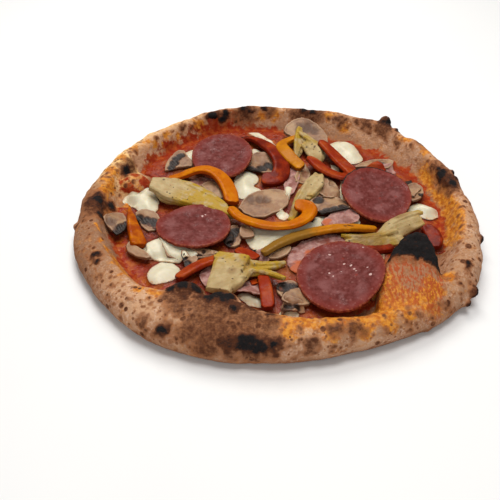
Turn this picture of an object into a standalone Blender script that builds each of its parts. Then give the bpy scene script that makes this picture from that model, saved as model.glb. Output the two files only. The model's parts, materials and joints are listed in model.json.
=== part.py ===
"""Capricciosa pizza, 0.3 m across: a puffed, blistered crust, tomato sauce and every topping.

Everything is worked out in millimetres and scaled to metres when an object is made. The crust
is a loft round the rim, whose width and height change from station to station. Each topping is
made flat, in plan, and then settled: it is laid on a height map of all that is already there,
so pieces touch, bend over each other and never cut each other. The toppings come in the order
in which they lie, the lowest first. X runs to the right, Y away from the widest stretch of rim.
"""

import math

import bmesh
import bpy
import numpy as np
from mathutils import Matrix, Vector, noise
from mathutils.bvhtree import BVHTree

MM = 0.001
GAP = 0.3  # air between two pieces that touch
CURVE_STEPS = 12  # points worked out between two given ones before a curve is spaced evenly
WELD = 0.01
SMOOTH_BELOW = 40  # degrees: a sharper edge stays sharp

# Crust
BASE_THICKNESS = 4.0
RIM_SEGMENTS = 96
RIM_TUCK = 9.0  # how far the foot of the rim lies inside its widest line
RIM_BELLY = 0.4  # height of the widest line, as a share of the rim's height
RIM_EASE = 7.0  # degrees over which one station passes into the next
RIM_LUMPS = 2.2  # depth of the unevenness of the rim
LUMP_SIZE = 21.0
# Round the rim: angle in degrees, then radius of its inner edge, crest and outer edge, and its height
RIM_STATIONS = (
    (-175, 119, 131, 146, 21),
    (-150, 117, 132, 149, 21),
    (-132, 118, 132, 150, 22),
    (-120, 99, 117, 151, 24),
    (-106, 98, 115, 149, 25),
    (-90, 106, 124, 145, 24),
    (-72, 114, 130, 144, 23),
    (-54, 122, 138, 150, 20),
    (-38, 124, 141, 158, 19),
    (-20, 125, 139, 153, 20),
    (5, 126, 138, 150, 21),
    (30, 126, 140, 149, 22),
    (55, 123, 138, 147, 23),
    (85, 122, 131, 140, 20),
    (105, 127, 135, 144, 23),
    (125, 122, 132, 142, 21),
    (150, 116, 130, 142, 21),
)
# Blisters and burnt knobs fused to the crust: centre, half sizes, and tilt of the top away from the front
BLISTERS = (
    ((101, -91, 6), (17, 16, 15.5), 0),  # the shoulder between the tall flap and the rim
    ((-58, -99, 16), (14, 8, 9.5), 0),  # two humps on the inner edge of the rim at the front left
    ((-35, -106, 16), (13, 7, 9), 0),
    ((-109, 33, 6), (13, 11, 11), 0),  # the dome inside the rim at the left
    ((98, 106, 21), (5, 4.5, 5), 0),
    ((107, 96, 20), (3, 3, 2.5), 0),
    ((-51, 121, 19.5), (5, 3.5, 3.5), 0),
    ((143, 40, 15), (3, 4, 3), 0),
    ((145, -38, 12), (4, 4, 4.5), 0),
    ((127, -89, 11), (5, 5, 5), 0),
    ((122, -97, 8), (4, 4, 4), 0),
    ((-143, -24, 12), (3, 4, 3), 0),
)

# The tall flap at the front right, which rises from the rim to a peak that looks inwards: from its
# front to its back, x and y of the middle, half its width, and its height
FLAP = (
    (79, -118, 16, 14),
    (81, -108, 20, 20),
    (84, -98, 21.5, 22.5),
    (86.5, -87, 21, 25.5),
    (88, -77, 19.5, 29.5),
    (90, -69, 16.5, 33.5),
    (93, -61.5, 10.5, 37),
    (93.5, -57, 8, 34.5),
)
FLAP_FLATTEN = 0.55  # below 1, its section is fuller than an ellipse
FLAP_SECTION = 10

LARGE_BLISTER = 10.0  # half size from which a blister gets the finer mesh
FINE_BALL = 3
COARSE_BALL = 1

# Sauce
SAUCE_THICKNESS = 1.0
SAUCE_EDGE_THICKNESS = 0.5
SAUCE_FROM = 60.0  # radius from which the edge of the sauce is looked for
SAUCE_CLIMB = 3.0  # how high it runs up the rim's inner foot
SAUCE_CLIMB_SWING = 2.0
SAUCE_SEGMENTS = 60
SAUCE_RINGS = (0.4, 0.72, 0.9, 1.0)

# The height map on which toppings settle
CELL = 1.5
HALF_SPAN = 168.0
CELLS = int(2 * HALF_SPAN / CELL) + 1
SKY = 300.0
LIFT_STEP = 0.2
MOST_LIFT = 6.0
SOFT = 4.0  # reach over which a limp piece bridges the bumps under it
FIRM = 6.0  # the same for mushroom and thick pepper
THICK = 8.0  # and for artichoke
STIFF = 12.0  # and for salami

# Cheese, ham and mushrooms
CHEESE_THICKNESS = 4.5
CHEESE_THIN = 3.0
THIN_CHEESE = ("cheese_back_left_sliver", "cheese_front_left", "cheese_front_tip")
HAM_THICKNESS = 1.4
MUSHROOM_THICKNESS = 3.0

STRIP_FLATTEN = 0.75  # below 1, the section of a strip is fuller than an ellipse

# Salami slices: centre, width, depth, and how much higher their far edge stands than they would lie
SALAMI_THICKNESS = 2.0
SALAMI_EDGE_THICKNESS = 1.2
SALAMI_WOBBLE = 0.035  # how far its outline strays from an oval, as a share of its size
SALAMI_SEGMENTS = 26
SALAMI_RINGS = (0.4, 0.72, 0.93, 1.0)
SALAMI = {
    "salami_back": ((-40, 64), 50, 59, 9.0),
    "salami_left": ((-58, -26), 54, 50, -2.0),
    "salami_right": ((79, 12), 53, 59, 8.0),
    "salami_front": ((42, -79), 58, 61, 7.0),
}

# Colours: red, green, blue, and roughness
COLOURS = {
    "crust": (0.62, 0.40, 0.22, 0.8),
    "tomato_sauce": (0.36, 0.05, 0.02, 0.4),
    "cheese": (0.86, 0.80, 0.66, 0.4),
    "ham": (0.62, 0.36, 0.34, 0.5),
    "mushroom": (0.38, 0.28, 0.20, 0.6),
    "salami": (0.27, 0.07, 0.06, 0.5),
    "artichoke": (0.62, 0.52, 0.22, 0.6),
    "pepper_red": (0.42, 0.05, 0.02, 0.3),
    "pepper_orange": (0.72, 0.24, 0.02, 0.3),
    "pepper_yellow": (0.68, 0.38, 0.05, 0.3),
}


# ---------------------------------------------------------------- curves and meshes


def catmull_rom(a, b, c, d, t):
    """The point at share t between b and c on the smooth curve through a, b, c and d."""
    return 0.5 * (
        2 * b + (c - a) * t + (2 * a - 5 * b + 4 * c - d) * t**2 + (3 * b - a - 3 * c + d) * t**3
    )


def smooth_outline(points, count):
    """count points, evenly spaced, on the closed smooth curve through the given ones."""
    knots = np.array(points, float)
    n = len(knots)
    dense = [
        catmull_rom(knots[i - 1], knots[i], knots[(i + 1) % n], knots[(i + 2) % n], t)
        for i in range(n)
        for t in np.linspace(0, 1, CURVE_STEPS, endpoint=False)
    ]
    return evenly_spaced(np.array(dense + dense[:1]), count + 1)[:-1]


def smooth_path(points, count):
    """count points, evenly spaced, on the open smooth curve through the given ones."""
    knots = np.array(points, float)
    knots = np.vstack([2 * knots[0] - knots[1], knots, 2 * knots[-1] - knots[-2]])
    dense = [
        catmull_rom(*knots[i : i + 4], t)
        for i in range(len(knots) - 3)
        for t in np.linspace(0, 1, CURVE_STEPS, endpoint=False)
    ]
    return evenly_spaced(np.array(dense + [knots[-2]]), count)


def evenly_spaced(line, count):
    """count points at equal distances along a polyline."""
    run = np.concatenate([[0], np.cumsum(np.linalg.norm(np.diff(line, axis=0), axis=1))])
    wanted = np.linspace(0, run[-1], count)
    return np.column_stack([np.interp(wanted, run, line[:, k]) for k in range(line.shape[1])])


def fuller(value, power):
    """A sine or cosine raised to a power below 1, which swells a circle towards a square."""
    return math.copysign(abs(value) ** power, value)


def loft(rings):
    """A body through rings of equal count, capped with a fan at each end."""
    bm = bmesh.new()
    loops = [[bm.verts.new(point) for point in ring] for ring in rings]
    count = len(loops[0])
    for first, second in zip(loops, loops[1:]):
        for i in range(count):
            j = (i + 1) % count
            bm.faces.new((first[i], first[j], second[j], second[i]))
    for loop in (loops[0], loops[-1]):
        middle = sum((v.co for v in loop), Vector()) / count
        tip = bm.verts.new(middle)
        for i in range(count):
            bm.faces.new((loop[i], loop[(i + 1) % count], tip))
    bmesh.ops.recalc_face_normals(bm, faces=bm.faces)
    return bm


def fused(pieces):
    """One body from several that overlap."""
    made = []
    for bm in pieces:
        mesh = bpy.data.meshes.new("lump")
        bm.to_mesh(mesh)
        bm.free()
        obj = bpy.data.objects.new("lump", mesh)
        helpers.objects.link(obj)
        made.append(obj)
    for other in made[1:]:
        union = made[0].modifiers.new("union", "BOOLEAN")
        union.operation = "UNION"
        union.object = other
    graph = bpy.context.evaluated_depsgraph_get()
    result = bmesh.new()
    result.from_object(made[0], graph)
    for obj in made:
        bpy.data.objects.remove(obj)
    bmesh.ops.remove_doubles(result, verts=result.verts, dist=WELD)
    return result


# ---------------------------------------------------------------- the pile


class Pile:
    """What has been laid down so far: a height map, and a tree of each piece's faces."""

    def __init__(self):
        self.heights = np.full((CELLS, CELLS), -SKY)
        self.trees = []

    def window(self, bm):
        """The range of cells under a piece, with a margin of one cell."""
        points = np.array([v.co[:2] for v in bm.verts])
        low = np.floor((points.min(axis=0) + HALF_SPAN) / CELL).astype(int) - 1
        high = np.ceil((points.max(axis=0) + HALF_SPAN) / CELL).astype(int) + 2
        return tuple(np.clip(low, 0, CELLS)), tuple(np.clip(high, 0, CELLS))

    def profile(self, tree, low, high, from_above):
        """The height of a piece's top or underside over each cell, NaN where it isn't."""
        start = SKY if from_above else -SKY
        down = Vector((0, 0, -1 if from_above else 1))
        found = np.full((high[0] - low[0], high[1] - low[1]), np.nan)
        for i in range(low[0], high[0]):
            for j in range(low[1], high[1]):
                origin = Vector((i * CELL - HALF_SPAN, j * CELL - HALF_SPAN, start))
                hit = tree.ray_cast(origin, down)[0]
                if hit is not None:
                    found[i - low[0], j - low[1]] = hit.z
        return found

    def add(self, bm):
        """Raises the height map to the top of a piece, and remembers the piece."""
        tree = BVHTree.FromBMesh(bm)
        low, high = self.window(bm)
        top = self.profile(tree, low, high, True)
        part = self.heights[low[0] : high[0], low[1] : high[1]]
        np.copyto(part, np.fmax(part, top))
        self.trees.append(tree)

    def height_at(self, x, y):
        return sampled(self.heights, (x + HALF_SPAN) / CELL, (y + HALF_SPAN) / CELL)

    def settle(self, bm, reach, far_rise=0.0):
        """Lays a flat piece down, with its far edge far_rise higher, or if that is below 0 its near one."""
        low, high = self.window(bm)
        under = widened(self.profile(BVHTree.FromBMesh(bm), low, high, False))
        need = self.heights[low[0] : high[0], low[1] : high[1]] - under + GAP
        lift = envelope(need, reach)
        points = np.array([v.co[:] for v in bm.verts])
        near, far = points[:, 1].min(), points[:, 1].max()
        for v in bm.verts:
            u = (v.co.x + HALF_SPAN) / CELL - low[0]
            w = (v.co.y + HALF_SPAN) / CELL - low[1]
            share = (v.co.y - near) / (far - near)
            v.co.z += sampled(lift, u, w)
            v.co.z += far_rise * share if far_rise > 0 else -far_rise * (1 - share)
        self.clear(bm)
        self.add(bm)

    def clear(self, bm):
        """Lifts a piece in small steps until it cuts nothing."""
        lifted = 0.0
        while lifted < MOST_LIFT:
            tree = BVHTree.FromBMesh(bm)
            if not any(tree.overlap(other) for other in self.trees):
                return
            for v in bm.verts:
                v.co.z += LIFT_STEP
            lifted += LIFT_STEP
        raise ValueError("a piece found no free place")


def widened(under):
    """A piece's underside carried one cell past its outline, so that its edge clears what it meets."""
    padded = np.pad(under, 1, constant_values=np.nan)
    lowest = padded[1:-1, 1:-1]
    for around in shifted(padded, 1):
        lowest = np.fmin(lowest, around)
    return np.where(np.isnan(under), lowest, under)


def shifted(values, reach):
    """Each copy of a padded map moved by up to reach cells."""
    for di in range(-reach, reach + 1):
        for dj in range(-reach, reach + 1):
            if di * di + dj * dj <= reach * reach:
                yield values[
                    reach + di : values.shape[0] - reach + di,
                    reach + dj : values.shape[1] - reach + dj,
                ]


def envelope(need, reach_mm):
    """A smooth surface no lower than need: its highest value within reach, averaged over the same reach."""
    reach = max(2, round(reach_mm / CELL))
    inside = ~np.isnan(need)
    padded = np.pad(np.where(inside, need, -np.inf), reach, constant_values=-np.inf)
    highest = np.max(list(shifted(padded, reach)), axis=0)
    values = np.pad(np.where(inside, highest, 0.0), reach)
    weights = np.pad(inside.astype(float), reach)
    total = sum(shifted(values, reach))
    weight = sum(shifted(weights, reach))
    return np.where(weight > 0, total / np.maximum(weight, 1), np.nanmax(need))


def sampled(values, u, w):
    """Bilinear value of a map at a place between its cells."""
    i = min(max(int(u), 0), values.shape[0] - 2)
    j = min(max(int(w), 0), values.shape[1] - 2)
    a = min(max(u - i, 0.0), 1.0)
    b = min(max(w - j, 0.0), 1.0)
    near = values[i, j] * (1 - a) + values[i + 1, j] * a
    far = values[i, j + 1] * (1 - a) + values[i + 1, j + 1] * a
    return near * (1 - b) + far * b


# ---------------------------------------------------------------- crust and sauce


def rim_at(angle):
    """Inner edge, crest, outer edge and height of the rim at an angle, eased between stations."""
    stations = np.array(RIM_STATIONS, float)
    spread = angle + np.linspace(-RIM_EASE, RIM_EASE, 5)
    return [
        float(np.interp(spread, stations[:, 0], stations[:, k], period=360).mean())
        for k in range(1, 5)
    ]


def crust_section(angle):
    """(radius, height) down the crust, from near its centre over the rim to near the centre below."""
    inner, crest, outer, height = rim_at(angle)
    belly = RIM_BELLY * height
    section = [(share * inner, BASE_THICKNESS) for share in (0.3, 0.6, 0.85)]
    for t in np.linspace(0, 1, 6):
        rise = (1 - math.cos(math.pi * t)) / 2
        top = BASE_THICKNESS + (height - BASE_THICKNESS) * rise
        section.append((inner + (crest - inner) * t, top))
    for turn in (22.5, 45, 67.5, 90):
        a = math.radians(turn)
        top = belly + (height - belly) * math.cos(a)
        section.append((crest + (outer - crest) * math.sin(a), top))
    for turn in (35, 65, 90):
        a = math.radians(turn)
        section.append((outer - RIM_TUCK * (1 - math.cos(a)), belly * (1 - math.sin(a))))
    section += [(share * inner, 0.0) for share in (0.8, 0.4)]
    return section


def lumpy(point, angle):
    """A point of the rim pushed out from or in towards the rim's core. The base and the foot stay flat."""
    inner, crest, outer, height = rim_at(angle)
    radius = math.hypot(point.x, point.y)
    if radius < inner or point.z < 1:
        return point
    core = Vector((point.x * crest / radius, point.y * crest / radius, RIM_BELLY * height))
    weight = min(1.0, (radius - inner) / (crest - inner))
    push = RIM_LUMPS * weight * noise.noise(point / LUMP_SIZE)
    return point + (point - core).normalized() * push


def crust_body():
    rings = []
    for step in range(RIM_SEGMENTS):
        angle = 360 * step / RIM_SEGMENTS
        c, s = math.cos(math.radians(angle)), math.sin(math.radians(angle))
        ring = [Vector((r * c, r * s, z)) for r, z in crust_section(angle)]
        rings.append([lumpy(point, angle) for point in ring])
    return loft_round(rings)


def loft_round(rings):
    """A body of sections that stand round the Z axis, closed at its middle above and below."""
    bm = bmesh.new()
    loops = [[bm.verts.new(point) for point in ring] for ring in rings]
    top = bm.verts.new((0, 0, loops[0][0].co.z))
    bottom = bm.verts.new((0, 0, loops[0][-1].co.z))
    for first, second in zip(loops, loops[1:] + loops[:1]):
        for i in range(len(first) - 1):
            bm.faces.new((first[i], first[i + 1], second[i + 1], second[i]))
        bm.faces.new((top, first[0], second[0]))
        bm.faces.new((bottom, second[-1], first[-1]))
    bmesh.ops.recalc_face_normals(bm, faces=bm.faces)
    return bm


def blister(centre, half_sizes, tilt):
    """A ball pressed into an ellipsoid, cut level inside the base where it would reach below it."""
    bm = bmesh.new()
    detail = FINE_BALL if max(half_sizes) > LARGE_BLISTER else COARSE_BALL
    bmesh.ops.create_icosphere(bm, subdivisions=detail, radius=1)
    place = Matrix.Translation(centre) @ Matrix.Rotation(math.radians(-tilt), 4, "X")
    bmesh.ops.transform(bm, matrix=place @ Matrix.Diagonal((*half_sizes, 1)), verts=bm.verts)
    floor = BASE_THICKNESS / 2
    if min(v.co.z for v in bm.verts) < floor:
        cut = bmesh.ops.bisect_plane(
            bm,
            geom=bm.verts[:] + bm.edges[:] + bm.faces[:],
            plane_co=(0, 0, floor),
            plane_no=(0, 0, -1),
            clear_outer=True,
        )
        edges = [item for item in cut["geom_cut"] if isinstance(item, bmesh.types.BMEdge)]
        bmesh.ops.contextual_create(bm, geom=edges)
        bmesh.ops.recalc_face_normals(bm, faces=bm.faces)
    return bm


def flap():
    """The flap, from sections that stand on the base and face the front."""
    rings = []
    for x, y, half_width, top in FLAP:
        ring = []
        for step in range(FLAP_SECTION + 1):
            a = math.pi * step / FLAP_SECTION
            across = half_width * fuller(math.cos(a), FLAP_FLATTEN)
            rise = (top - BASE_THICKNESS / 2) * fuller(math.sin(a), FLAP_FLATTEN)
            ring.append(Vector((x + across, y, BASE_THICKNESS / 2 + rise)))
        rings.append(ring)
    return loft(rings)


def crust():
    return fused([crust_body(), flap()] + [blister(*spec) for spec in BLISTERS])


def sauce_reach(angle):
    """How far from the middle the crust has risen to the line where the sauce ends."""
    direction = Vector((math.cos(math.radians(angle)), math.sin(math.radians(angle)), 0))
    line = BASE_THICKNESS + SAUCE_CLIMB + SAUCE_CLIMB_SWING * noise.noise(direction * 4)
    radius = SAUCE_FROM
    while pile.height_at(direction.x * radius, direction.y * radius) < line:
        radius += CELL / 2
    return radius


def sauce():
    """A thin skin on the base that runs unevenly up the foot of the rim."""
    step = 360 / SAUCE_SEGMENTS
    reaches = [sauce_reach(step * i / 2) for i in range(2 * SAUCE_SEGMENTS)]
    edge = []
    for i in range(SAUCE_SEGMENTS):
        near = [reaches[(2 * i + k) % len(reaches)] for k in (-2, -1, 0, 1)]
        a = math.radians(step * i)
        edge.append(Vector((math.cos(a), math.sin(a), 0)) * min(near))
    rings = [[point * share for point in edge] for share in SAUCE_RINGS]
    return layered(rings, [SAUCE_THICKNESS] * 3 + [SAUCE_EDGE_THICKNESS])


# ---------------------------------------------------------------- toppings, flat


def layered(rings, thicknesses):
    """A flat body from nested plan rings, the innermost first: a level underside and a top at each
    ring's thickness."""
    bm = bmesh.new()
    middle = sum((Vector(p) for p in rings[0]), Vector()) / len(rings[0])
    sides = []
    for heights in ([0.0] * len(rings), thicknesses):
        tip = bm.verts.new((middle.x, middle.y, heights[0]))
        loops = [
            [bm.verts.new((p[0], p[1], z)) for p in ring] for ring, z in zip(rings, heights)
        ]
        count = len(loops[0])
        for i in range(count):
            bm.faces.new((tip, loops[0][i], loops[0][(i + 1) % count]))
        for first, second in zip(loops, loops[1:]):
            for i in range(count):
                j = (i + 1) % count
                bm.faces.new((first[i], second[i], second[j], first[j]))
        sides.append(loops[-1])
    for i in range(count):
        j = (i + 1) % count
        bm.faces.new((sides[0][i], sides[0][j], sides[1][j], sides[1][i]))
    bmesh.ops.recalc_face_normals(bm, faces=bm.faces)
    return bm


def patch(outline, thickness, dome=False, count=14, shares=(0.5, 1.0)):
    """A piece with a smooth outline: a sheet of even thickness, or a soft dome."""
    edge = smooth_outline(outline, count)
    middle = edge.mean(axis=0)
    rings = [[(*(middle + (p - middle) * share), 0.0) for p in edge] for share in shares]
    if dome:
        heights = [thickness * math.sqrt(1 - 0.9 * share**2) for share in shares]
    else:
        heights = [thickness * (1 - 0.25 * share**4) for share in shares]
    return layered(rings, heights)


def pool(outline, thickness):
    """Melted cheese."""
    return patch(outline, thickness, dome=True, count=16, shares=(0.4, 0.78, 1.0))


def strip(path, widths, height, stations=11, sides=8, tip_share=0.55):
    """A piece of roundish section along a plan path, as wide as widths says from end to end."""
    line = smooth_path(path, stations)
    tangents = np.gradient(line, axis=0)
    spread = np.interp(np.linspace(0, 1, stations), np.linspace(0, 1, len(widths)), widths)
    spread[0] *= tip_share
    spread[-1] *= tip_share
    rings = []
    for (x, y), (tx, ty), width in zip(line, tangents, spread):
        side = Vector((-ty, tx, 0)).normalized() * width / 2
        tall = min(height, width) / 2
        ring = []
        for k in range(sides):
            a = 2 * math.pi * k / sides
            up = Vector((0, 0, tall * fuller(math.sin(a), STRIP_FLATTEN)))
            ring.append(Vector((x, y, height / 2)) + side * fuller(math.cos(a), STRIP_FLATTEN) + up)
        rings.append(ring)
    return loft(rings)


def salami_slice(centre, width, depth):
    rings = []
    for share in SALAMI_RINGS:
        ring = []
        for step in range(SALAMI_SEGMENTS):
            a = 2 * math.pi * step / SALAMI_SEGMENTS
            place = Vector((centre[0] + 1.4 * math.cos(a), 1.4 * math.sin(a), 5))
            stretch = share * (1 + SALAMI_WOBBLE * noise.noise(place))
            x = centre[0] + width / 2 * stretch * math.cos(a)
            y = centre[1] + depth / 2 * stretch * math.sin(a)
            ring.append((x, y, 0.0))
        rings.append(ring)
    return layered(rings, [SALAMI_THICKNESS] * 3 + [SALAMI_EDGE_THICKNESS])


# ---------------------------------------------------------------- objects


def clear_scene():
    for obj in list(bpy.data.objects):
        bpy.data.objects.remove(obj)


def collection(name):
    made = bpy.data.collections.new(name)
    bpy.context.scene.collection.children.link(made)
    return made


def material(name, look):
    red, green, blue, roughness = COLOURS[look]
    made = bpy.data.materials.new(name)
    made.use_nodes = True
    shader = made.node_tree.nodes["Principled BSDF"]
    shader.inputs["Base Color"].default_value = (red, green, blue, 1)
    shader.inputs["Roughness"].default_value = roughness
    shader.inputs["Metallic"].default_value = 0
    return made


def node(name, bm, look):
    """The object for a finished body, in metres."""
    bmesh.ops.scale(bm, vec=(MM, MM, MM), verts=bm.verts)
    mesh = bpy.data.meshes.new(name)
    bm.to_mesh(mesh)
    bm.free()
    mesh.shade_smooth()
    mesh.set_sharp_from_angle(angle=math.radians(SMOOTH_BELOW))
    obj = bpy.data.objects.new(name, mesh)
    mesh.materials.append(material(name, look))
    pizza.objects.link(obj)
    return obj


def lay(name, bm, look, reach=SOFT, far_rise=0.0):
    """Settles a topping on the pile and makes its object."""
    try:
        pile.settle(bm, reach, far_rise)
    except ValueError as problem:
        raise ValueError(f"{name}: {problem}") from problem
    return node(name, bm, look)


def centre_on_floor(objects):
    """Moves the whole so that the middle of its box is on the Z axis."""
    corners = np.array([v.co[:] for obj in objects for v in obj.data.vertices])
    middle = (corners.min(axis=0) + corners.max(axis=0)) / 2
    for obj in objects:
        obj.data.transform(Matrix.Translation((-middle[0], -middle[1], 0)))


# ---------------------------------------------------------------- the pizza, from the bottom up


def lay_crust_and_sauce():
    body = crust()
    pile.add(body)
    node("crust", body, "crust")
    lay("tomato_sauce", sauce(), "tomato_sauce", reach=1)


def lay_cheese():
    """Fresh cheese, melted into pools."""
    outlines = {
        "cheese_left_back":
            ((-117, 15), (-112, 24), (-105, 22), (-98, 31), (-90, 20), (-87, 2), (-95, -5), (-106, 5)),
        "cheese_left":
            ((-93, -46), (-90, -36), (-82, -31), (-76, -35), (-76, -48), (-83, -54), (-90, -53)),
        "cheese_back_left_sliver":
            ((-80, 63), (-76, 75), (-63, 88), (-63, 71), (-72, 63)),
        "cheese_back_centre":
            ((-30, 39), (-23, 54), (-13, 50), (-10, 40), (-15, 33), (-7, 23), (-17, 16), (-27, 17)),
        "cheese_in_red_hook":
            ((-15, 88), (-6, 80), (1, 77), (1, 69), (-7, 68), (-13, 77)),
        "cheese_back_right":
            ((50, 91), (60, 99), (72, 96), (75, 82), (78, 70), (67, 63), (57, 76)),
        "cheese_right":
            ((102, 1), (111, 10), (119, 6), (127, 2), (120, -9), (109, -6)),
        "cheese_centre":
            ((-22, -28), (-18, -17), (-4, -19), (17, -15), (34, -6), (44, -9), (25, -26), (4, -41),
             (-12, -49)),
        "cheese_mid_right":
            ((44, -15), (49, -6), (55, -1), (62, -6), (64, -16), (53, -19)),
        "cheese_front_left":
            ((-87, -70), (-84, -62), (-76, -56), (-67, -61), (-63, -68), (-69, -75), (-82, -80)),
        "cheese_front":
            ((-26, -89), (-17, -89), (-9, -95), (-9, -100), (-18, -97)),
        "cheese_front_tip":
            ((1, -104), (8, -101), (14, -104), (11, -110), (5, -109)),
    }
    for name, outline in outlines.items():
        thickness = CHEESE_THIN if name in THIN_CHEESE else CHEESE_THICKNESS
        lay(name, pool(outline, thickness), "cheese")


def lay_ham():
    """Thin torn sheets of cooked ham."""
    outlines = {
        "ham_front_left":
            ((-52, -71), (-46, -63), (-37, -59), (-37, -75), (-40, -86), (-46, -85)),
        "ham_front":
            ((-30, -90), (-25, -81), (-17, -77), (-9, -82), (-9, -95), (-19, -92)),
        "ham_centre":
            ((7, -57), (12, -44), (22, -35), (37, -28), (54, -31), (46, -50), (26, -57), (19, -72),
             (11, -68)),
        "ham_back":
            ((9, 22), (13, 47), (18, 62), (24, 52), (19, 27), (13, 16)),
        "ham_in_orange_arc":
            ((-67, 35), (-55, 44), (-43, 37), (-36, 23), (-47, 25), (-58, 27)),
        "ham_mid_right":
            ((34, -19), (43, -9), (55, -2), (65, -13), (56, -22), (41, -23)),
    }
    for name, outline in outlines.items():
        lay(name, patch(outline, HAM_THICKNESS), "ham")


def lay_mushrooms():
    """Slices of cooked mushroom that lie on sauce, cheese and ham."""
    outlines = {
        "mushroom_back_left":
            ((-87, 51), (-85, 64), (-80, 74), (-74, 79), (-69, 68), (-64, 64), (-65, 57), (-76, 55)),
        "mushroom_left":
            ((-124, -19), (-120, -11), (-112, -8), (-107, -21), (-111, -34), (-118, -29)),
        "mushroom_left_mid":
            ((-103, -5), (-94, -3), (-85, -8), (-83, -21), (-92, -25), (-99, -15)),
        "mushroom_front_left":
            ((-102, -37), (-104, -47), (-98, -54), (-86, -59), (-88, -52), (-96, -46)),
        "mushroom_left_plate":
            ((-82, -32), (-70, -38), (-54, -44), (-39, -48), (-43, -53), (-59, -55), (-74, -55)),
        "mushroom_in_orange_arc":
            ((-56, 29), (-48, 35), (-40, 27), (-36, 17), (-42, 10), (-50, 21)),
        "mushroom_mid_dark":
            ((-37, -35), (-33, -22), (-27, -18), (-24, -26), (-24, -39), (-31, -43)),
        "mushroom_mid_cap":
            ((-25, -28), (-22, -21), (-17, -25), (-14, -34), (-17, -37), (-23, -36)),
        "mushroom_back_dark":
            ((-25, 54), (-19, 71), (-7, 73), (5, 64), (7, 52), (-7, 48)),
        "mushroom_plate":
            ((-26, 2), (-20, 14), (-6, 23), (7, 25), (13, 14), (9, 2), (-7, -9), (-18, -7)),
        "mushroom_mid_right":
            ((30, 17), (34, 42), (48, 38), (53, 23), (46, 7), (37, 3)),
        "mushroom_mid_right_gills":
            ((28, 7), (38, 12), (53, 10), (60, -3), (46, -9), (35, -9)),
        "mushroom_back_right":
            ((69, 57), (78, 65), (91, 68), (102, 64), (96, 55), (81, 57)),
        "mushroom_right":
            ((104, 25), (111, 33), (118, 27), (116, 14), (106, 7)),
        "mushroom_front_bits":
            ((-65, -51), (-62, -50), (-58, -57), (-53, -55), (-54, -62), (-61, -65)),
        "mushroom_front_dark":
            ((0, -86), (2, -80), (10, -77), (15, -81), (14, -89), (5, -93)),
        "mushroom_front_plate":
            ((3, -98), (6, -91), (14, -86), (19, -93), (22, -99), (12, -103)),
        "mushroom_centre_sliver":
            ((-5, -54), (2, -47), (12, -44), (9, -52), (1, -56)),
    }
    for name, outline in outlines.items():
        lay(name, patch(outline, MUSHROOM_THICKNESS), "mushroom", FIRM)
    ring = ((12, 105), (17, 114), (30, 118), (43, 110), (50, 97), (47, 87), (34, 89), (21, 97))
    lay("mushroom_back_ring", patch(ring, 3.5), "mushroom", FIRM, far_rise=7.0)


def lay_left_half():
    """Salami, peppers and artichoke from the back left to the centre."""
    slice_at("salami_back")
    arc = ((-80, 42), (-70, 45), (-58, 47), (-46, 43), (-37, 33), (-32, 20), (-33, 9))
    lay("pepper_orange_arc", strip(arc, (5, 9, 10, 10, 9), 5.0, stations=13), "pepper_orange")
    hook = ((-27, 98), (-21, 104), (-10, 95), (-1, 81), (7, 65), (10, 51), (8, 38), (1, 32), (-7, 38))
    lay("pepper_red_hook", strip(hook, (3, 7, 11, 12, 12, 10), 5.5, stations=15), "pepper_red")
    wedge = ((-110, 5), (-105, -11), (-100, -26), (-94, -40))
    lay("pepper_orange_wedge", strip(wedge, (1.5, 6, 9, 11), 5.5, stations=8), "pepper_orange")
    heart = ((-91, 23), (-82, 22), (-70, 18), (-57, 10), (-45, 1), (-33, -8))
    heart = strip(heart, (24, 31, 26, 18, 13, 9), 9.5, stations=10, sides=10)
    lay("artichoke_left", heart, "artichoke", THICK)
    slice_at("salami_left")


def lay_back():
    """Artichoke and peppers at the back and in the middle."""
    ring = ((22, 95), (15, 96), (8, 92), (7, 82), (11, 70), (16, 60), (24, 53))
    lay("pepper_yellow_ring", strip(ring, (6, 9, 9, 9, 8), 4.5, stations=10), "pepper_yellow")
    leaf = strip(((26, 102), (25, 85), (20, 68)), (7, 9, 4), 4.0, stations=6)
    block = strip(((26, 88), (33, 86), (39, 78), (38, 62), (37, 53)), (9, 16, 16, 9, 3), 6.0, stations=8)
    lay("artichoke_back", fused([leaf, block]), "artichoke", THICK)
    upper = strip(((42, 82), (52, 71), (61, 58), (67, 41)), (7, 10, 10, 9), 5.0, stations=8)
    lower = strip(((31, 62), (38, 50), (48, 42), (60, 38), (68, 40)), (6, 10, 10, 10, 8), 5.0, stations=9)
    lay("pepper_red_loop", fused([upper, lower]), "pepper_red", FIRM)
    leg = strip(((35, 39), (27, 25), (20, 10), (16, -4), (13, -17)), (4, 9, 9, 7, 6), 4.5, stations=9)
    side = strip(((37, 36), (32, 22), (27, 10)), (5, 14, 7), 4.5, stations=6)
    lay("artichoke_centre", fused([leg, side]), "artichoke", THICK)
    curl = (
        (-31, -6), (-24, -17), (-14, -24), (-3, -26), (8, -24),
        (19, -18), (27, -10), (29, -2), (24, 3), (17, 1),
    )
    lay("pepper_orange_ring", strip(curl, (7, 9, 9, 9, 9, 7), 5.5, stations=15), "pepper_orange")


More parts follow.
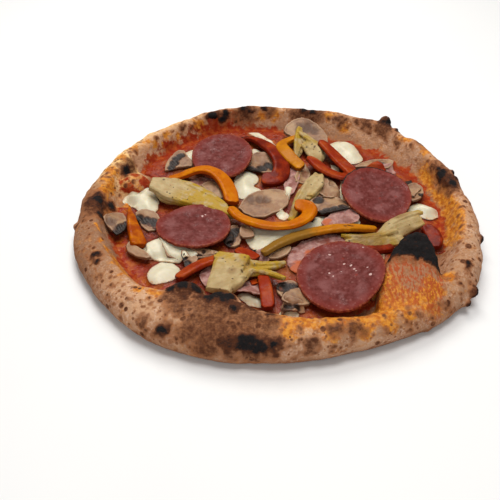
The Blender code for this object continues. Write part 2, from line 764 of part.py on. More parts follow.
def lay_right():
    """The right salami, with the artichoke and the peppers round it."""
    slice_at("salami_right")
    strand = ((-8, -52), (0, -46), (12, -37), (23, -31), (35, -27), (49, -26), (62, -25), (73, -24))
    lay("pepper_long_strip", strip(strand, (6, 9, 9.5, 9, 7), 5.0, stations=13), "pepper_yellow")
    dark = ((53, -46), (63, -48), (73, -48), (82, -44))
    lay("pepper_dark_right", strip(dark, (6, 9, 9, 7), 4.5, stations=6), "pepper_red")
    far = ((113, -24), (119, -32), (118, -43), (114, -50))
    lay("pepper_far_right", strip(far, (7, 11, 11, 8), 4.0, stations=6), "pepper_red")
    leaves = strip(((50, -33), (64, -36), (78, -37), (88, -36)), (4, 9, 11, 7), 4.0, stations=7)
    chunk = strip(((76, -32), (88, -24), (98, -18), (107, -14)), (8, 16, 17, 13), 7.5, stations=7)
    tip = strip(((84, -30), (90, -36), (94, -42)), (6, 5, 2), 3.0, stations=4, sides=6)
    lay("artichoke_right", fused([leaves, chunk, tip]), "artichoke", THICK)


def lay_front():
    """Peppers and artichoke along the front, and the front salami."""
    front = ((-65, -76), (-58, -69), (-49, -62), (-39, -56), (-29, -54))
    lay("pepper_red_front", strip(front, (7, 9, 9, 8), 5.0, stations=9), "pepper_red")
    chunk = ((-26, -49), (-20, -51), (-13, -56))
    lay("pepper_red_chunk", strip(chunk, (8, 10, 8), 5.0, stations=5), "pepper_red")
    upright = ((-7, -76), (-6, -89), (-6, -104))
    lay("pepper_red_upright", strip(upright, (9, 10, 10), 4.5, stations=6), "pepper_red")
    block = ((-33, -93), (-32, -80), (-30, -68), (-27, -60))
    block = strip(block, (19, 25, 25, 18), 8.5, stations=7, sides=10)
    upper = strip(((-28, -63), (-18, -64), (-6, -65), (6, -61)), (9, 8, 6, 4), 4.0, stations=7)
    lower = strip(((-30, -68), (-18, -71), (-7, -73), (5, -79)), (9, 8, 6, 4), 4.0, stations=7)
    lay("artichoke_front", fused([block, upper, lower]), "artichoke", THICK)
    slice_at("salami_front")


def slice_at(name):
    centre, width, depth, far_rise = SALAMI[name]
    lay(name, salami_slice(centre, width, depth), "salami", STIFF, far_rise)


clear_scene()
pizza = collection("capricciosa_pizza")
helpers = collection("helpers")
pile = Pile()
lay_crust_and_sauce()
lay_cheese()
lay_ham()
lay_mushrooms()
lay_left_half()
lay_back()
lay_right()
lay_front()
centre_on_floor(list(pizza.objects))
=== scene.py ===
# %% [markdown]
# # A capricciosa pizza from the oven
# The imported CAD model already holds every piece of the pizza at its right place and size, but as
# plain, few-sided solids. This lesson dresses each of them: it takes a finer copy, gives it the
# lumps and folds of real food by moving its vertices, paints burns and stains on it as attributes,
# and writes the materials that read them. Working on copies keeps every piece exactly where the
# CAD model has it.

# %% Set up
import json
import math

import bmesh
import bpy
import numpy as np
from mathutils import Matrix, Vector, noise
from mathutils.bvhtree import BVHTree
from mathutils.kdtree import KDTree


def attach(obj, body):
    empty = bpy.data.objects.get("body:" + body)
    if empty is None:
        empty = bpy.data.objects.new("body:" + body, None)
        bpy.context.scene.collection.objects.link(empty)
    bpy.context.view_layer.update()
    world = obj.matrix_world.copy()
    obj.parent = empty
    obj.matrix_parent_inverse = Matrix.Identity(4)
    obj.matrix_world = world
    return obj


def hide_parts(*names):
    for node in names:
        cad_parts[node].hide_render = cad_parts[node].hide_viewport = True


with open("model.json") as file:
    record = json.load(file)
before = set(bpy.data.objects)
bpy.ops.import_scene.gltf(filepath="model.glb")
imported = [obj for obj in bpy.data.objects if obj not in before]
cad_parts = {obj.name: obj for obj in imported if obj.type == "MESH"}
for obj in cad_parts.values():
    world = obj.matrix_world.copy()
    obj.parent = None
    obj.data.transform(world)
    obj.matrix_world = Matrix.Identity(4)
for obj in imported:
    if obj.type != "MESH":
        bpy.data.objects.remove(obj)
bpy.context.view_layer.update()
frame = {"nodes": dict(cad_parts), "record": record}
MM = 0.001
print("CAD nodes:", len(frame["nodes"]))

# %% [markdown]
# ## Camera and light
# The photograph looks down at about 41 degrees with a longish lens, from where the widest stretch
# of crust is nearest. The light in it is soft and comes from above and a little behind: the cheese
# is bright, and the side of the crust that faces the camera is darker than its top. Three area
# lights and an even, dim world give that. The view transform is Standard, so that a colour worked
# out for the light comes out as that colour.

# %% Camera
LOOK_DOWN = math.radians(41.3)
CAMERA_PLACE = (-0.01947, -0.38728, 0.31)
LENS = 46.8
SENSOR_WIDTH = 36
scene = bpy.context.scene
scene.view_settings.view_transform = "Standard"
camera = bpy.data.objects.new("camera", bpy.data.cameras.new("camera"))
scene.collection.objects.link(camera)
camera.location = CAMERA_PLACE
camera.rotation_euler = (math.pi / 2 - LOOK_DOWN, 0, 0)
camera.data.lens = LENS
camera.data.sensor_width = SENSOR_WIDTH
scene.camera = camera
print("camera looks down", round(math.degrees(LOOK_DOWN), 1), "degrees")

# %% Lights
PALE = (1.0, 0.99, 0.98)
LAMPS = (  # name, place, width, watts and tint
    ("key", (-0.12, 0.60, 0.90), 0.55, 7.1, (1.0, 0.98, 0.95)),
    ("top", (0.10, 0.0, 1.1), 0.5, 6.0, PALE),
    ("front", (-0.1, -0.9, 0.7), 0.6, 2.4, PALE),
)
SKY_STRENGTH = 0.22
for name, place, width, watts, tint in LAMPS:
    lamp = bpy.data.lights.new(name, "AREA")
    lamp.size = width
    lamp.energy = watts
    lamp.color = tint
    holder = bpy.data.objects.new(name, lamp)
    scene.collection.objects.link(holder)
    holder.location = place
    holder.rotation_euler = (-Vector(place)).to_track_quat("-Z", "Y").to_euler()
world = bpy.data.worlds.new("studio")
scene.world = world
world.use_nodes = True
sky = world.node_tree.nodes["Background"]
sky.inputs["Color"].default_value = (*PALE, 1)
sky.inputs["Strength"].default_value = SKY_STRENGTH
print(len(LAMPS), "lamps that point at the middle of the pizza")

# %% [markdown]
# ## Helpers for shader nodes
# A material in code is a list of nodes and the wires between them. `add` makes one node: a plain
# value is set on its socket, another node's output is wired to it. The rest are the small sums
# that every material here needs: a soft threshold, arithmetic, a blend of two colours, and `tinted`,
# which lays a tint over a colour wherever a mark was painted on the mesh.


# %% Shader helpers
MM_A_METRE = 1000.0


def add(tree, kind, settings=None, **sockets):
    """A shader node. Spaces in socket names are written as underscores, and _0 is the first socket."""
    made = tree.nodes.new("ShaderNode" + kind)
    for name, value in (settings or {}).items():
        setattr(made, name, value)
    for name, value in sockets.items():
        place = int(name[1:]) if name[0] == "_" else name.replace("_", " ")
        socket = made.inputs[place]
        if isinstance(value, bpy.types.NodeSocket):
            tree.links.new(value, socket)
        else:
            socket.default_value = (*value, 1) if socket.type == "RGBA" else value
    return made


def calc(tree, operation, first, second):
    return add(tree, "Math", {"operation": operation}, _0=first, _1=second).outputs[0]


def times(tree, first, second):
    return calc(tree, "MULTIPLY", first, second)


def above(tree, value, low, high):
    """0 where value is under low, 1 where it is over high, eased between."""
    eased_step = {"interpolation_type": "SMOOTHSTEP"}
    return add(tree, "MapRange", eased_step, Value=value, From_Min=low, From_Max=high).outputs["Result"]


def mix(tree, share, first, second):
    """A colour between first and second."""
    return add(tree, "Mix", {"data_type": "RGBA"}, _0=share, _6=first, _7=second).outputs[2]


def painted(tree, name):
    """A value painted on the mesh."""
    return add(tree, "Attribute", {"attribute_name": name}).outputs["Fac"]


def tinted(tree, colour, where, most, tint):
    """The colour with a tint over it, by most at the strongest, where a mask or a painted mark is."""
    mask = painted(tree, where) if isinstance(where, str) else where
    return mix(tree, times(tree, mask, most), colour, tint)


def clouds(tree, vector, size, detail=3.0):
    """Noise from 0 to 1 whose patches are about size millimetres across."""
    fixed = not isinstance(size, bpy.types.NodeSocket)
    scale = MM_A_METRE / size if fixed else calc(tree, "DIVIDE", MM_A_METRE, size)
    return add(tree, "TexNoise", Vector=vector, Scale=scale, Detail=detail, Roughness=0.55).outputs["Fac"]


def material(name, **plain):
    """A new material: itself, its tree, its Principled shader, and the place on the piece."""
    made = bpy.data.materials.new(name)
    made.use_nodes = True
    tree = made.node_tree
    shader = tree.nodes["Principled BSDF"]
    for socket, value in plain.items():
        shader.inputs[socket.replace("_", " ")].default_value = value
    return made, tree, shader, add(tree, "TexCoord").outputs["Object"]


def feed(tree, shader, **sources):
    for socket, source in sources.items():
        tree.links.new(source, shader.inputs[socket.replace("_", " ")])


print("patches 5 mm across need a noise scale of", MM_A_METRE / 5)

# %% [markdown]
# ## Effects that several foods share
# Everything on a pizza is blotchy, speckled and finely rough, so these effects are node groups,
# built once and placed in each material with its own sizes and colours: `blotches` blends two
# colours by soft noise, `specks` picks out single dots of many sizes, `torn_edge` breaks up the
# edge of a painted mask, and `grain` gives the fine relief.


# %% Node groups: blotches and specks
def new_group(name, inputs, output):
    """An empty node group: its tree, its inputs by name, and the socket that it puts out."""
    tree = bpy.data.node_groups.new(name, "ShaderNodeTree")
    for label, kind, value in inputs:
        socket = tree.interface.new_socket(label, in_out="INPUT", socket_type="NodeSocket" + kind)
        if value is not None:
            socket.default_value = value
    tree.interface.new_socket(output[0], in_out="OUTPUT", socket_type="NodeSocket" + output[1])
    return tree, tree.nodes.new("NodeGroupInput").outputs, tree.nodes.new("NodeGroupOutput").inputs[0]


BLOTCHES, given, out = new_group("blotches", (
    ("Position", "Vector", None), ("Size", "Float", 6.0), ("Low", "Float", 0.35),
    ("High", "Float", 0.65), ("First", "Color", None), ("Second", "Color", None),
), ("Color", "Color"))
patches = clouds(BLOTCHES, given["Position"], given["Size"], 4.0)
share = above(BLOTCHES, patches, given["Low"], given["High"])
BLOTCHES.links.new(mix(BLOTCHES, share, given["First"], given["Second"]), out)

SPECKS, given, out = new_group("specks", (
    ("Position", "Vector", None), ("Spacing", "Float", 4.0), ("Reach", "Float", 0.3),
    ("Share", "Float", 0.5),
), ("Mask", "Float"))
scale = calc(SPECKS, "DIVIDE", MM_A_METRE, given["Spacing"])
cells = add(SPECKS, "TexVoronoi", Vector=given["Position"], Scale=scale)
chance = add(SPECKS, "SeparateColor", Color=cells.outputs["Color"]).outputs
reach = times(SPECKS, given["Reach"], calc(SPECKS, "ADD", chance["Green"], 0.4))
inside = above(SPECKS, cells.outputs["Distance"], reach, times(SPECKS, reach, 0.45))
SPECKS.links.new(times(SPECKS, inside, calc(SPECKS, "LESS_THAN", chance["Red"], given["Share"])), out)
print("node groups:", BLOTCHES.name, SPECKS.name)

# %% Node groups: torn edge and grain
TORN_EDGE, given, out = new_group("torn_edge", (
    ("Position", "Vector", None), ("Mask", "Float", 0.0), ("Size", "Float", 1.6),
    ("Tear", "Float", 0.9), ("Low", "Float", 0.3), ("High", "Float", 0.8),
), ("Mask", "Float"))
drift = calc(TORN_EDGE, "SUBTRACT", clouds(TORN_EDGE, given["Position"], given["Size"], 5.0), 0.5)
drift = calc(TORN_EDGE, "ADD", given["Mask"], times(TORN_EDGE, drift, given["Tear"]))
TORN_EDGE.links.new(above(TORN_EDGE, drift, given["Low"], given["High"]), out)

GRAIN, given, out = new_group("grain", (
    ("Position", "Vector", None), ("Lumps", "Float", 3.0), ("Lump Depth", "Float", 0.3),
    ("Grit", "Float", 0.8), ("Grit Depth", "Float", 0.08),
), ("Normal", "Vector"))
lumps = add(GRAIN, "Bump", Height=clouds(GRAIN, given["Position"], given["Lumps"], 4.0),
            Distance=times(GRAIN, given["Lump Depth"], MM))
grit = add(GRAIN, "Bump", Height=clouds(GRAIN, given["Position"], given["Grit"], 2.0),
           Distance=times(GRAIN, given["Grit Depth"], MM), Normal=lumps.outputs["Normal"])
GRAIN.links.new(grit.outputs["Normal"], out)
print("node groups:", TORN_EDGE.name, GRAIN.name)

# %% Placing the groups
def placed(tree, group, spot, **sockets):
    return add(tree, "Group", {"node_tree": group}, Position=spot, **sockets).outputs[0]


def blotches(tree, spot, size, first, second, low=0.35, high=0.65):
    return placed(tree, BLOTCHES, spot, Size=size, Low=low, High=high, First=first, Second=second)


def specks(tree, spot, spacing, reach, share):
    return placed(tree, SPECKS, spot, Spacing=spacing, Reach=reach, Share=share)


def torn(tree, spot, mask, low=0.3, high=0.8, size=1.6, tear=0.9):
    if isinstance(mask, str):
        mask = painted(tree, mask)
    return placed(tree, TORN_EDGE, spot, Mask=mask, Size=size, Tear=tear, Low=low, High=high)


def grain(tree, spot, lumps, lump_depth, grit=0.8, grit_depth=0.08):
    return placed(tree, GRAIN, spot, Lumps=lumps, Lump_Depth=lump_depth, Grit=grit, Grit_Depth=grit_depth)


print(len(bpy.data.node_groups), "node groups can be placed")

# %% [markdown]
# ## Floor
# A plain pale table top, so that nothing takes the eye from the pizza. Its colour drifts a little,
# as any real surface does.

# %% Floor
FLOOR_HALF = 3.0
bm = bmesh.new()
bmesh.ops.create_grid(bm, x_segments=4, y_segments=4, size=FLOOR_HALF)
floor_mesh = bpy.data.meshes.new("floor")
bm.to_mesh(floor_mesh)
bm.free()
floor = bpy.data.objects.new("floor", floor_mesh)
scene.collection.objects.link(floor)
floor_look, tree, shader, spot = material("pale_table", Roughness=0.7)
feed(tree, shader, Base_Color=blotches(tree, spot, 400.0, (0.85, 0.85, 0.85), (0.88, 0.88, 0.87)))
floor_mesh.materials.append(floor_look)
print("floor:", 2 * FLOOR_HALF, "m wide")

# %% [markdown]
# ## Fine copies of the CAD solids
# A CAD solid here has a few hundred flat triangles. Merging its doubles and subdividing it once or
# twice rounds it, and a voxel remesh then gives even, small faces all over, which can be moved
# freely. A remesh alone would keep the flat facets, and subdivision alone would keep the long thin
# triangles, on which bumps come out crooked. Cut pieces keep crisper edges with fewer subdivisions
# and a little relaxing of the mesh instead.


# %% Fine copy
WELD = 0.01 * MM


def finely_meshed(bm, voxel, levels, relax):
    """An evenly meshed copy of a bmesh, which it frees. voxel is the size of its faces in mm."""
    coarse = bpy.data.meshes.new("coarse")
    bm.to_mesh(coarse)
    bm.free()
    carrier = bpy.data.objects.new("carrier", coarse)
    scene.collection.objects.link(carrier)
    rounding = carrier.modifiers.new("rounding", "SUBSURF")
    rounding.levels = rounding.render_levels = levels
    even = carrier.modifiers.new("even", "REMESH")
    even.mode = "VOXEL"
    even.voxel_size = voxel * MM
    if relax:
        easing = carrier.modifiers.new("easing", "SMOOTH")
        easing.factor = 0.5
        easing.iterations = relax
    graph = bpy.context.evaluated_depsgraph_get()
    mesh = bpy.data.meshes.new_from_object(carrier.evaluated_get(graph), depsgraph=graph)
    bpy.data.objects.remove(carrier)
    bpy.data.meshes.remove(coarse)
    mesh.materials.clear()
    return mesh


def merged(node):
    """A bmesh of a CAD node whose loose triangles are joined."""
    bm = bmesh.new()
    bm.from_mesh(frame["nodes"][node].data)
    bmesh.ops.remove_doubles(bm, verts=bm.verts, dist=WELD)
    return bm


def fine_mesh(node, voxel, levels=2, relax=0):
    """A rounded, evenly meshed copy of a CAD node's mesh."""
    return finely_meshed(merged(node), voxel, levels, relax)


print("doubles are merged within", WELD / MM, "mm")

# %% Reading, moving and painting vertices
def all_of(parts, key):
    """A vector of every part of a mesh, as the rows of an array."""
    found = np.empty(len(parts) * 3, np.float32)
    parts.foreach_get(key, found)
    return found.reshape(-1, 3).astype(float)


def places(mesh):
    """Where each vertex is, in metres."""
    return all_of(mesh.vertices, "co")


def facings(mesh):
    """The way each vertex faces."""
    return all_of(mesh.vertex_normals, "vector")


def pushed(points, facing, push):
    """The points moved along the way they face, by push in mm."""
    return points + facing * (push * MM)[:, None]


def move_to(mesh, points):
    mesh.vertices.foreach_set("co", points.astype(np.float32).ravel())
    mesh.update()


def paint(mesh, name, values):
    """Keeps a value from 0 to 1 for each vertex, which materials read."""
    layer = mesh.attributes.new(name, "FLOAT", "POINT")
    layer.data.foreach_set("value", np.clip(values, 0, 1).astype(np.float32))


print("the CAD crust has", len(places(frame["nodes"]["crust"].data)), "vertices")

# %% Unevenness and marks
def ripples(points, size, seed):
    """Smooth noise of about -1 to 1 at each point, with waves about size millimetres long."""
    shifted = points / (size * MM) + (seed, 1.7 * seed, -0.6 * seed)
    return np.array([noise.noise(p) for p in shifted.tolist()])


def lumpy(points, *waves):
    """Ripples laid over each other. A wave is its depth, its size and its seed."""
    return sum(depth * ripples(points, size, seed) for depth, size, seed in waves)


def eased(values, low, high):
    """0 under low, 1 over high, smooth between."""
    t = np.clip((values - low) / (high - low), 0, 1)
    return t * t * (3 - 2 * t)


def strayed(points, stray):
    """The points moved about at random by up to a few millimetres, so that round marks turn ragged."""
    wide = np.column_stack([ripples(points, 6.0, seed) for seed in (1, 5, 9)])
    close = np.column_stack([ripples(points, 2.4, seed) for seed in (2, 6, 10)])
    return points + (wide + 0.5 * close) * stray * MM


def spread(points, marks, core, reach):
    """The strongest of round marks (x, y, z, radius in mm): 1 out to core radii, 0 from reach on."""
    cover = np.zeros(len(points))
    for x, y, z, radius in marks:
        near = np.abs(points[:, 0] - x * MM) < reach * radius * MM
        gap = np.linalg.norm(points[near] - np.array((x, y, z)) * MM, axis=1) / (radius * MM)
        cover[near] = np.maximum(cover[near], eased(-gap, -reach, -core))
    return cover


def spread_in_plan(points, marks, core, reach):
    """The same for marks (x, y, radius in mm) that go through a piece at any height."""
    return spread(points * (1, 1, 0), [(x, y, 0, radius) for x, y, radius in marks], core, reach)


print("a wave 6 mm long, 0 and 2 mm along it:", ripples(np.array(((0, 0, 0), (2 * MM, 0, 0))), 6, 1).round(2))

SLOTS = {part["node"]: part["material_slot"] for part in frame["record"]["subparts"]}


def dressed(mesh, name, node, look):
    """The finished piece: it rides on the pizza, stands for its CAD node and has its material."""
    mesh.shade_smooth()
    mesh.name = name
    piece = bpy.data.objects.new(name, mesh)
    scene.collection.objects.link(piece)
    mesh.materials.append(look)
    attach(piece, "root")
    if node:
        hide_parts(node)
    return piece


print("slots:", ", ".join(sorted(set(SLOTS.values()))))

# %% [markdown]
# ## Where the sauce ends
# The edge of the sauce steers a good deal: the crust is smeared red just outside it, floury further
# out, and the sauce itself thins to nothing there. The CAD sauce gives the edge for each degree
# round the pizza. Along the back and the right the real sauce stops a little lower on the wall than
# the solid does, so the edge is drawn in there by a few millimetres.


# %% Edge of the sauce
WINDOW = 4  # degrees to either side of a bearing within which the furthest vertex counts
DRAWN_IN_AT = (0, 15, 35, 88, 100, 150, 190, 340, 360)  # degrees round the middle
DRAWN_IN_BY = (2.5, 3, 4, 4, 2, 1, 0, 0, 2.5)  # mm


def sauce_edge():
    """The radius of the sauce's edge, in metres, for each degree round the middle of the pizza."""
    points = places(frame["nodes"]["tomato_sauce"].data)
    radius = np.hypot(points[:, 0], points[:, 1])
    turn = np.degrees(np.arctan2(points[:, 1], points[:, 0])) % 360
    return np.array([radius[np.abs((turn - d + 180) % 360 - 180) < WINDOW].max() for d in range(360)])


EDGE = sauce_edge() - np.interp(range(360), DRAWN_IN_AT, DRAWN_IN_BY) * MM


def past_sauce(points):
    """How far each point lies outside the edge of the sauce, in mm, seen from above."""
    turn = np.degrees(np.arctan2(points[:, 1], points[:, 0])) % 360
    return (np.hypot(points[:, 0], points[:, 1]) - np.interp(turn, range(360), EDGE, period=360)) / MM


print("sauce reaches", round(EDGE.min() / MM), "to", round(EDGE.max() / MM), "mm")

# %% [markdown]
# ## Crust
# A puffed Neapolitan rim is dull and floury where it stayed pale, golden on its crest, orange where
# oil ran over it, and leopard-spotted: each spot is a small bubble that rose and burnt. The marks
# of this pizza that the eye goes to are listed by place, in millimetres, with their radius. They
# could be painted by noise alone, but then no burn would sit where the real one does. Smaller
# freckles come from the shader, and the side that the photograph hides gets scattered burns.

# %% Marks on the crust: x, y, z and radius
BLACK = (
    (-53, 121, 21, 4.1), (-57, 122, 20, 2.3), (-41, 128, 19, 3.6), (-44, 126, 16, 4.1),
    (-26, 133, 22, 3.2), (-19, 132, 19, 2.7), (-7, 134, 22, 2.8), (-119, 45, 14, 5.3),
    (-132, 0, 20, 4.6), (-125, 5, 9, 4.3), (-129, -15, 17, 3.4), (-123, -61, 20, 2.9),
    (-120, -68, 20, 2.0), (-72, -126, 16, 4.0), (-66, -90, 21, 4.6), (-71, -92, 20, 3.0),
    (-45, -106, 25, 4.0), (-35, -107, 24, 4.6), (-30, -116, 25, 3.0), (-23, -137, 19, 5.8),
    (-16, -139, 18, 5.6), (-27, -139, 16, 2.6), (-6, -139, 18, 2.9), (-12, -140, 17, 3.2),
    (-19, -135, 20, 3.2), (130, 34, 20, 4.9), (135, 20, 21, 4.0), (125, -70, 19, 2.5),
    (28, 131, 21, 3.7), (36, 129, 21, 3.7), (98, 106, 21, 7.0), (107, 96, 20, 3.0), (139, 27, 18, 3.4),
    (128, 40, 21, 2.6), (-113, 49, 15, 4.0), (-118, 38, 17, 3.0), (-51, 121, 20, 5.0),
    (143, 40, 15, 4.0), (145, -38, 12, 3.6), (127, -89, 11, 4.2), (122, -97, 8, 3.2),
    (-143, -24, 12, 3.0), (-62, -95, 24, 5.0), (-69, -97, 22, 3.0), (-54, -96, 24, 3.6),
    (-52, -99, 24, 3.0), (-40, -103, 24, 4.6), (-31, -105, 24, 3.6),
)
BROWN = (
    (-113, 66, 20, 2.9), (-111, 78, 21, 2.6), (-99, 86, 19, 2.6), (-78, 106, 18, 4.0),
    (-70, 111, 16, 3.1), (-32, 128, 12, 2.7), (-26, 129, 13, 2.7), (-12, 130, 13, 2.3),
    (22, 129, 17, 4.1), (19, 128, 14, 3.2), (51, 122, 17, 2.3), (59, 119, 17, 3.4), (67, 113, 14, 2.3),
    (-139, -20, 19, 2.1), (-131, -41, 20, 2.0), (-125, -48, 21, 1.6), (-130, -33, 21, 1.4),
    (-120, -81, 17, 1.7), (-109, -91, 19, 2.3), (-95, -104, 20, 2.2), (-86, -110, 20, 1.9),
    (-83, -104, 22, 1.6), (-86, -120, 16, 3.1), (-70, -118, 21, 1.8), (-101, -110, 10, 1.6),
    (-65, -131, 15, 3.0), (-42, -115, 24, 2.4), (-25, -123, 23, 2.4), (-19, -122, 23, 2.4),
    (-31, -126, 22, 3.0), (-46, -116, 24, 2.4), (-53, -108, 24, 1.9), (14, -141, 13, 3.0),
    (17, -136, 19, 3.6), (12, -132, 22, 1.5), (20, -131, 22, 1.8), (25, -123, 23, 1.5),
    (34, -129, 22, 3.6), (42, -127, 21, 1.8), (51, -118, 20, 1.2), (70, -114, 21, 1.4),
    (73, -118, 20, 1.9), (82, -119, 14, 1.9), (83, -114, 19, 1.9), (94, -113, 14, 2.6),
    (99, -104, 17, 2.0), (105, -103, 16, 2.6), (108, -88, 21, 2.0), (97, -91, 25, 1.1),
    (102, -89, 23, 1.3), (102, -94, 22, 1.3), (116, -88, 18, 2.0), (123, -77, 18, 1.5),
    (131, 4, 13, 2.0), (134, -10, 20, 2.7), (131, -18, 18, 2.3), (133, -23, 21, 1.5),
    (128, 23, 12, 2.0), (127, 45, 19, 3.3), (104, 83, 15, 3.1), (81, 108, 20, 4.5), (90, 101, 21, 3.6),
    (98, 96, 22, 3.5), (73, 114, 20, 3.6), (114, 73, 20, 2.6), (124, 54, 19, 1.7),
)
SCORCH = (
    (-133, -10, 21, 11.3), (-128, -1, 15, 9.2), (-116, 51, 14, 7.4), (-44, 126, 18, 7.3),
    (-23, 132, 20, 11.0), (-3, 133, 21, 7.3), (25, 129, 19, 11.0), (38, 128, 20, 9.1),
    (131, 30, 20, 10.6), (134, 16, 20, 7.2), (127, 44, 19, 5.8), (-60, -95, 23, 9.0),
    (-47, -112, 24, 9.0), (-35, -115, 24, 9.0), (-40, -123, 23, 8.4), (-25, -125, 23, 8.4),
    (-52, -122, 23, 7.2), (-16, -124, 23, 6.4), (-19, -138, 18, 12.5), (-8, -140, 17, 7.5),
    (-31, -138, 17, 8.8), (-46, -137, 16, 8.3), (-72, -126, 16, 6.1), (17, -138, 17, 5.3),
    (-85, -119, 16, 4.3), (-122, -63, 20, 4.8), (81, 111, 22, 8.1), (96, 98, 22, 8.0),
    (60, 119, 18, 6.4), (43, -129, 20, 6.1), (31, -130, 22, 5.4), (125, -72, 19, 3.5),
    (-62, -112, 23, 8.0), (-44, -130, 21, 8.0), (-20, -114, 23, 8.0), (-8, -126, 22, 7.0),
    (137, 24, 18, 9.0), (129, 38, 20, 8.0), (-124, -14, 20, 8.0), (-134, 4, 17, 8.0),
    (-68, -104, 23, 8.0), (-56, -130, 19, 8.0), (-36, -131, 20, 9.0), (-110, 46, 15, 8.0),
)
DEEP_SCORCH = (
    (-129, -6, 18, 8.0), (-134, 3, 19, 6.5), (-139, -5, 17, 7.0), (-136, -16, 15, 5.5),
    (-124, 2, 12, 5.0), (-116, 46, 14, 5.5), (131, 28, 21, 8.0), (135, 20, 20, 6.0),
    (-46, 126, 18, 6.0), (-22, 132, 21, 6.0), (-20, -137, 19, 9.5), (-66, -92, 22, 6.5),
    (-38, -106, 24, 7.5), (-30, -112, 24, 6.0), (32, 130, 21, 6.0), (-72, -126, 16, 4.5),
    (-56, -97, 24, 6.5), (-48, -102, 24, 6.5), (-20, -113, 24, 5.0), (-8, -118, 24, 4.0),
    (-34, -137, 18, 6.5), (-6, -139, 18, 6.5), (-60, -104, 24, 5.0),
)
OIL = (
    (-91, 95, 18, 4.4), (-93, 88, 13, 3.5), (-100, 82, 17, 3.4), (-82, 100, 12, 3.5),
    (-114, 68, 21, 3.4), (-64, 116, 14, 5.4), (-122, 55, 22, 5.0), (-128, 37, 21, 6.5),
    (-129, 25, 20, 7.1), (-126, 21, 15, 5.5), (-129, 14, 18, 5.5), (-106, 80, 21, 3.4),
    (-126, -33, 20, 2.9), (-122, -45, 19, 3.5), (-116, -54, 17, 2.8), (-111, -69, 20, 2.7),
    (-102, -82, 21, 3.3), (-89, -95, 21, 4.4), (-78, -99, 22, 5.0), (3, -132, 23, 6.5),
    (10, -126, 24, 6.5), (20, -118, 23, 7.0), (28, -122, 23, 6.5), (37, -122, 23, 6.5),
    (47, -121, 21, 6.5), (62, -116, 20, 7.5), (74, -110, 19, 7.5), (82, -103, 18, 7.5),
    (91, -99, 18, 7.0), (95, -92, 25, 6.0), (108, -82, 20, 6.5), (124, -26, 8, 7.5),
    (128, -15, 10, 7.5), (120, -37, 7, 5.5), (130, -13, 16, 5.0), (132, 1, 15, 4.2), (130, 11, 13, 4.0),
    (129, 19, 14, 4.0), (123, 64, 22, 5.1), (110, 83, 22, 6.1), (51, 124, 20, 5.5), (64, 114, 13, 5.4),
    (3, 131, 16, 5.5), (-9, 130, 13, 4.6), (78, -117, 21, 6.5), (88, -107, 21, 6.5), (98, -94, 20, 6.0),
    (66, -124, 20, 6.0), (48, -129, 20, 6.0), (28, -131, 20, 6.0),
)
print(sum(map(len, (BLACK, BROWN, SCORCH, DEEP_SCORCH, OIL))), "marks on the crust")

# %% [markdown]
# ### The shape of the crust
# Lumps of three sizes are pushed out along the way that the surface faces, and burnt blisters a
# little further. At the front right a fold of dough stood up in the oven: the tall flap. It gets its
# own lumps and colours, so `flap_cover` says which vertices are on it, and how far up.

# %% Crust: the flap and the knob
KNOB = ((100, 107, 24, 6),)
FLAP_FOOT = np.array((79, -106)) * MM
FLAP_PEAK = np.array((91, -58)) * MM
FLAP_UP = (-0.3, 0, 0.6, 0.85, 1.05)  # share of the way from its foot to its peak
FLAP_HALF = (14, 20, 20, 16, 9)  # half its width there, in mm


def flap_cover(points):
    """How far each point is on the flap, and how far up it, from 0 at its foot to 1 at its peak."""
    run = FLAP_PEAK - FLAP_FOOT
    away = points[:, :2] - FLAP_FOOT
    up = away @ run / (run @ run)
    aside = np.abs(away[:, 0] * run[1] - away[:, 1] * run[0]) / np.linalg.norm(run)
    width = np.interp(up, FLAP_UP, FLAP_HALF) * MM
    cover = eased(-aside / width, -1.15, -0.95) * eased(up, -0.25, 0.1) * eased(-up, -1.5, -1.3)
    return cover * eased(points[:, 2] / MM, 8, 14), up


print("the flap is", round(float(np.linalg.norm(FLAP_PEAK - FLAP_FOOT)) / MM), "mm long in plan")

# %% Crust: shape
CRUST_FACES = 1.4
CRUST_LUMPS = ((0.8, 14, 2), (0.6, 6, 4), (0.3, 3.4, 6))
crust = fine_mesh("crust", CRUST_FACES, levels=1)
at = places(crust)
facing = facings(crust)
raised = eased(at[:, 2] / MM, 2, 8)
on_flap, up_flap = flap_cover(at)
moved = strayed(at, 1.0)
blisters = 0.5 * spread(moved, BLACK, 0.7, 1.15) + 0.2 * spread(moved, BROWN, 0.6, 1.2)
push = lumpy(at, *CRUST_LUMPS) + blisters
push += on_flap * eased(up_flap, 0.6, 0.8) * (0.6 + 1.2 * ripples(at, 4.5, 14))
push += 3.0 * spread(at, KNOB, 0.4, 1.5)
under = eased(-facing[:, 2], 0.7, 0.95)
at = pushed(at, facing, raised * push)
at[:, 2] = np.maximum(at[:, 2], 0) + under * 0.35 * MM * np.maximum(ripples(at, 7, 11), 0)
move_to(crust, at)
print("crust:", len(crust.vertices), "vertices")

# %% [markdown]
# ### What is painted on the crust
# Each layer is a value for every vertex: how far it is burnt, oiled, smeared with sauce, tanned or
# golden. The tanned layer is also darker towards the foot of the rim: partly browning from the oven
# floor, partly painted shade where the rim curves under. The golden one is partly a painted pool of
# light on the back left crest. Listed marks stray a little before they are painted, which makes them
# ragged. Around the rim, `stretch` picks a range of bearings. The side that the photograph hides gets
# seeded burns.

# %% Crust: burns
rng = np.random.default_rng(7)
NEVER_ZERO = 1e-9
facing = facings(crust)
outside = past_sauce(at)
rim_top = NEVER_ZERO + raised * eased(outside, 4, 12) * (1 - on_flap)
hidden = NEVER_ZERO + (
    raised * eased(facing[:, 1], 0.2, 0.5) * eased(outside, 18, 24) * eased(at[:, 1] / MM, 30, 50)
)


def scattered(count, small, large, weight):
    """Round marks on randomly picked vertices."""
    picked = rng.choice(len(at), count, p=weight / weight.sum())
    sizes = rng.uniform(small, large, count) ** 2 / large
    return [(*(at[i] / MM), size) for i, size in zip(picked, sizes)]


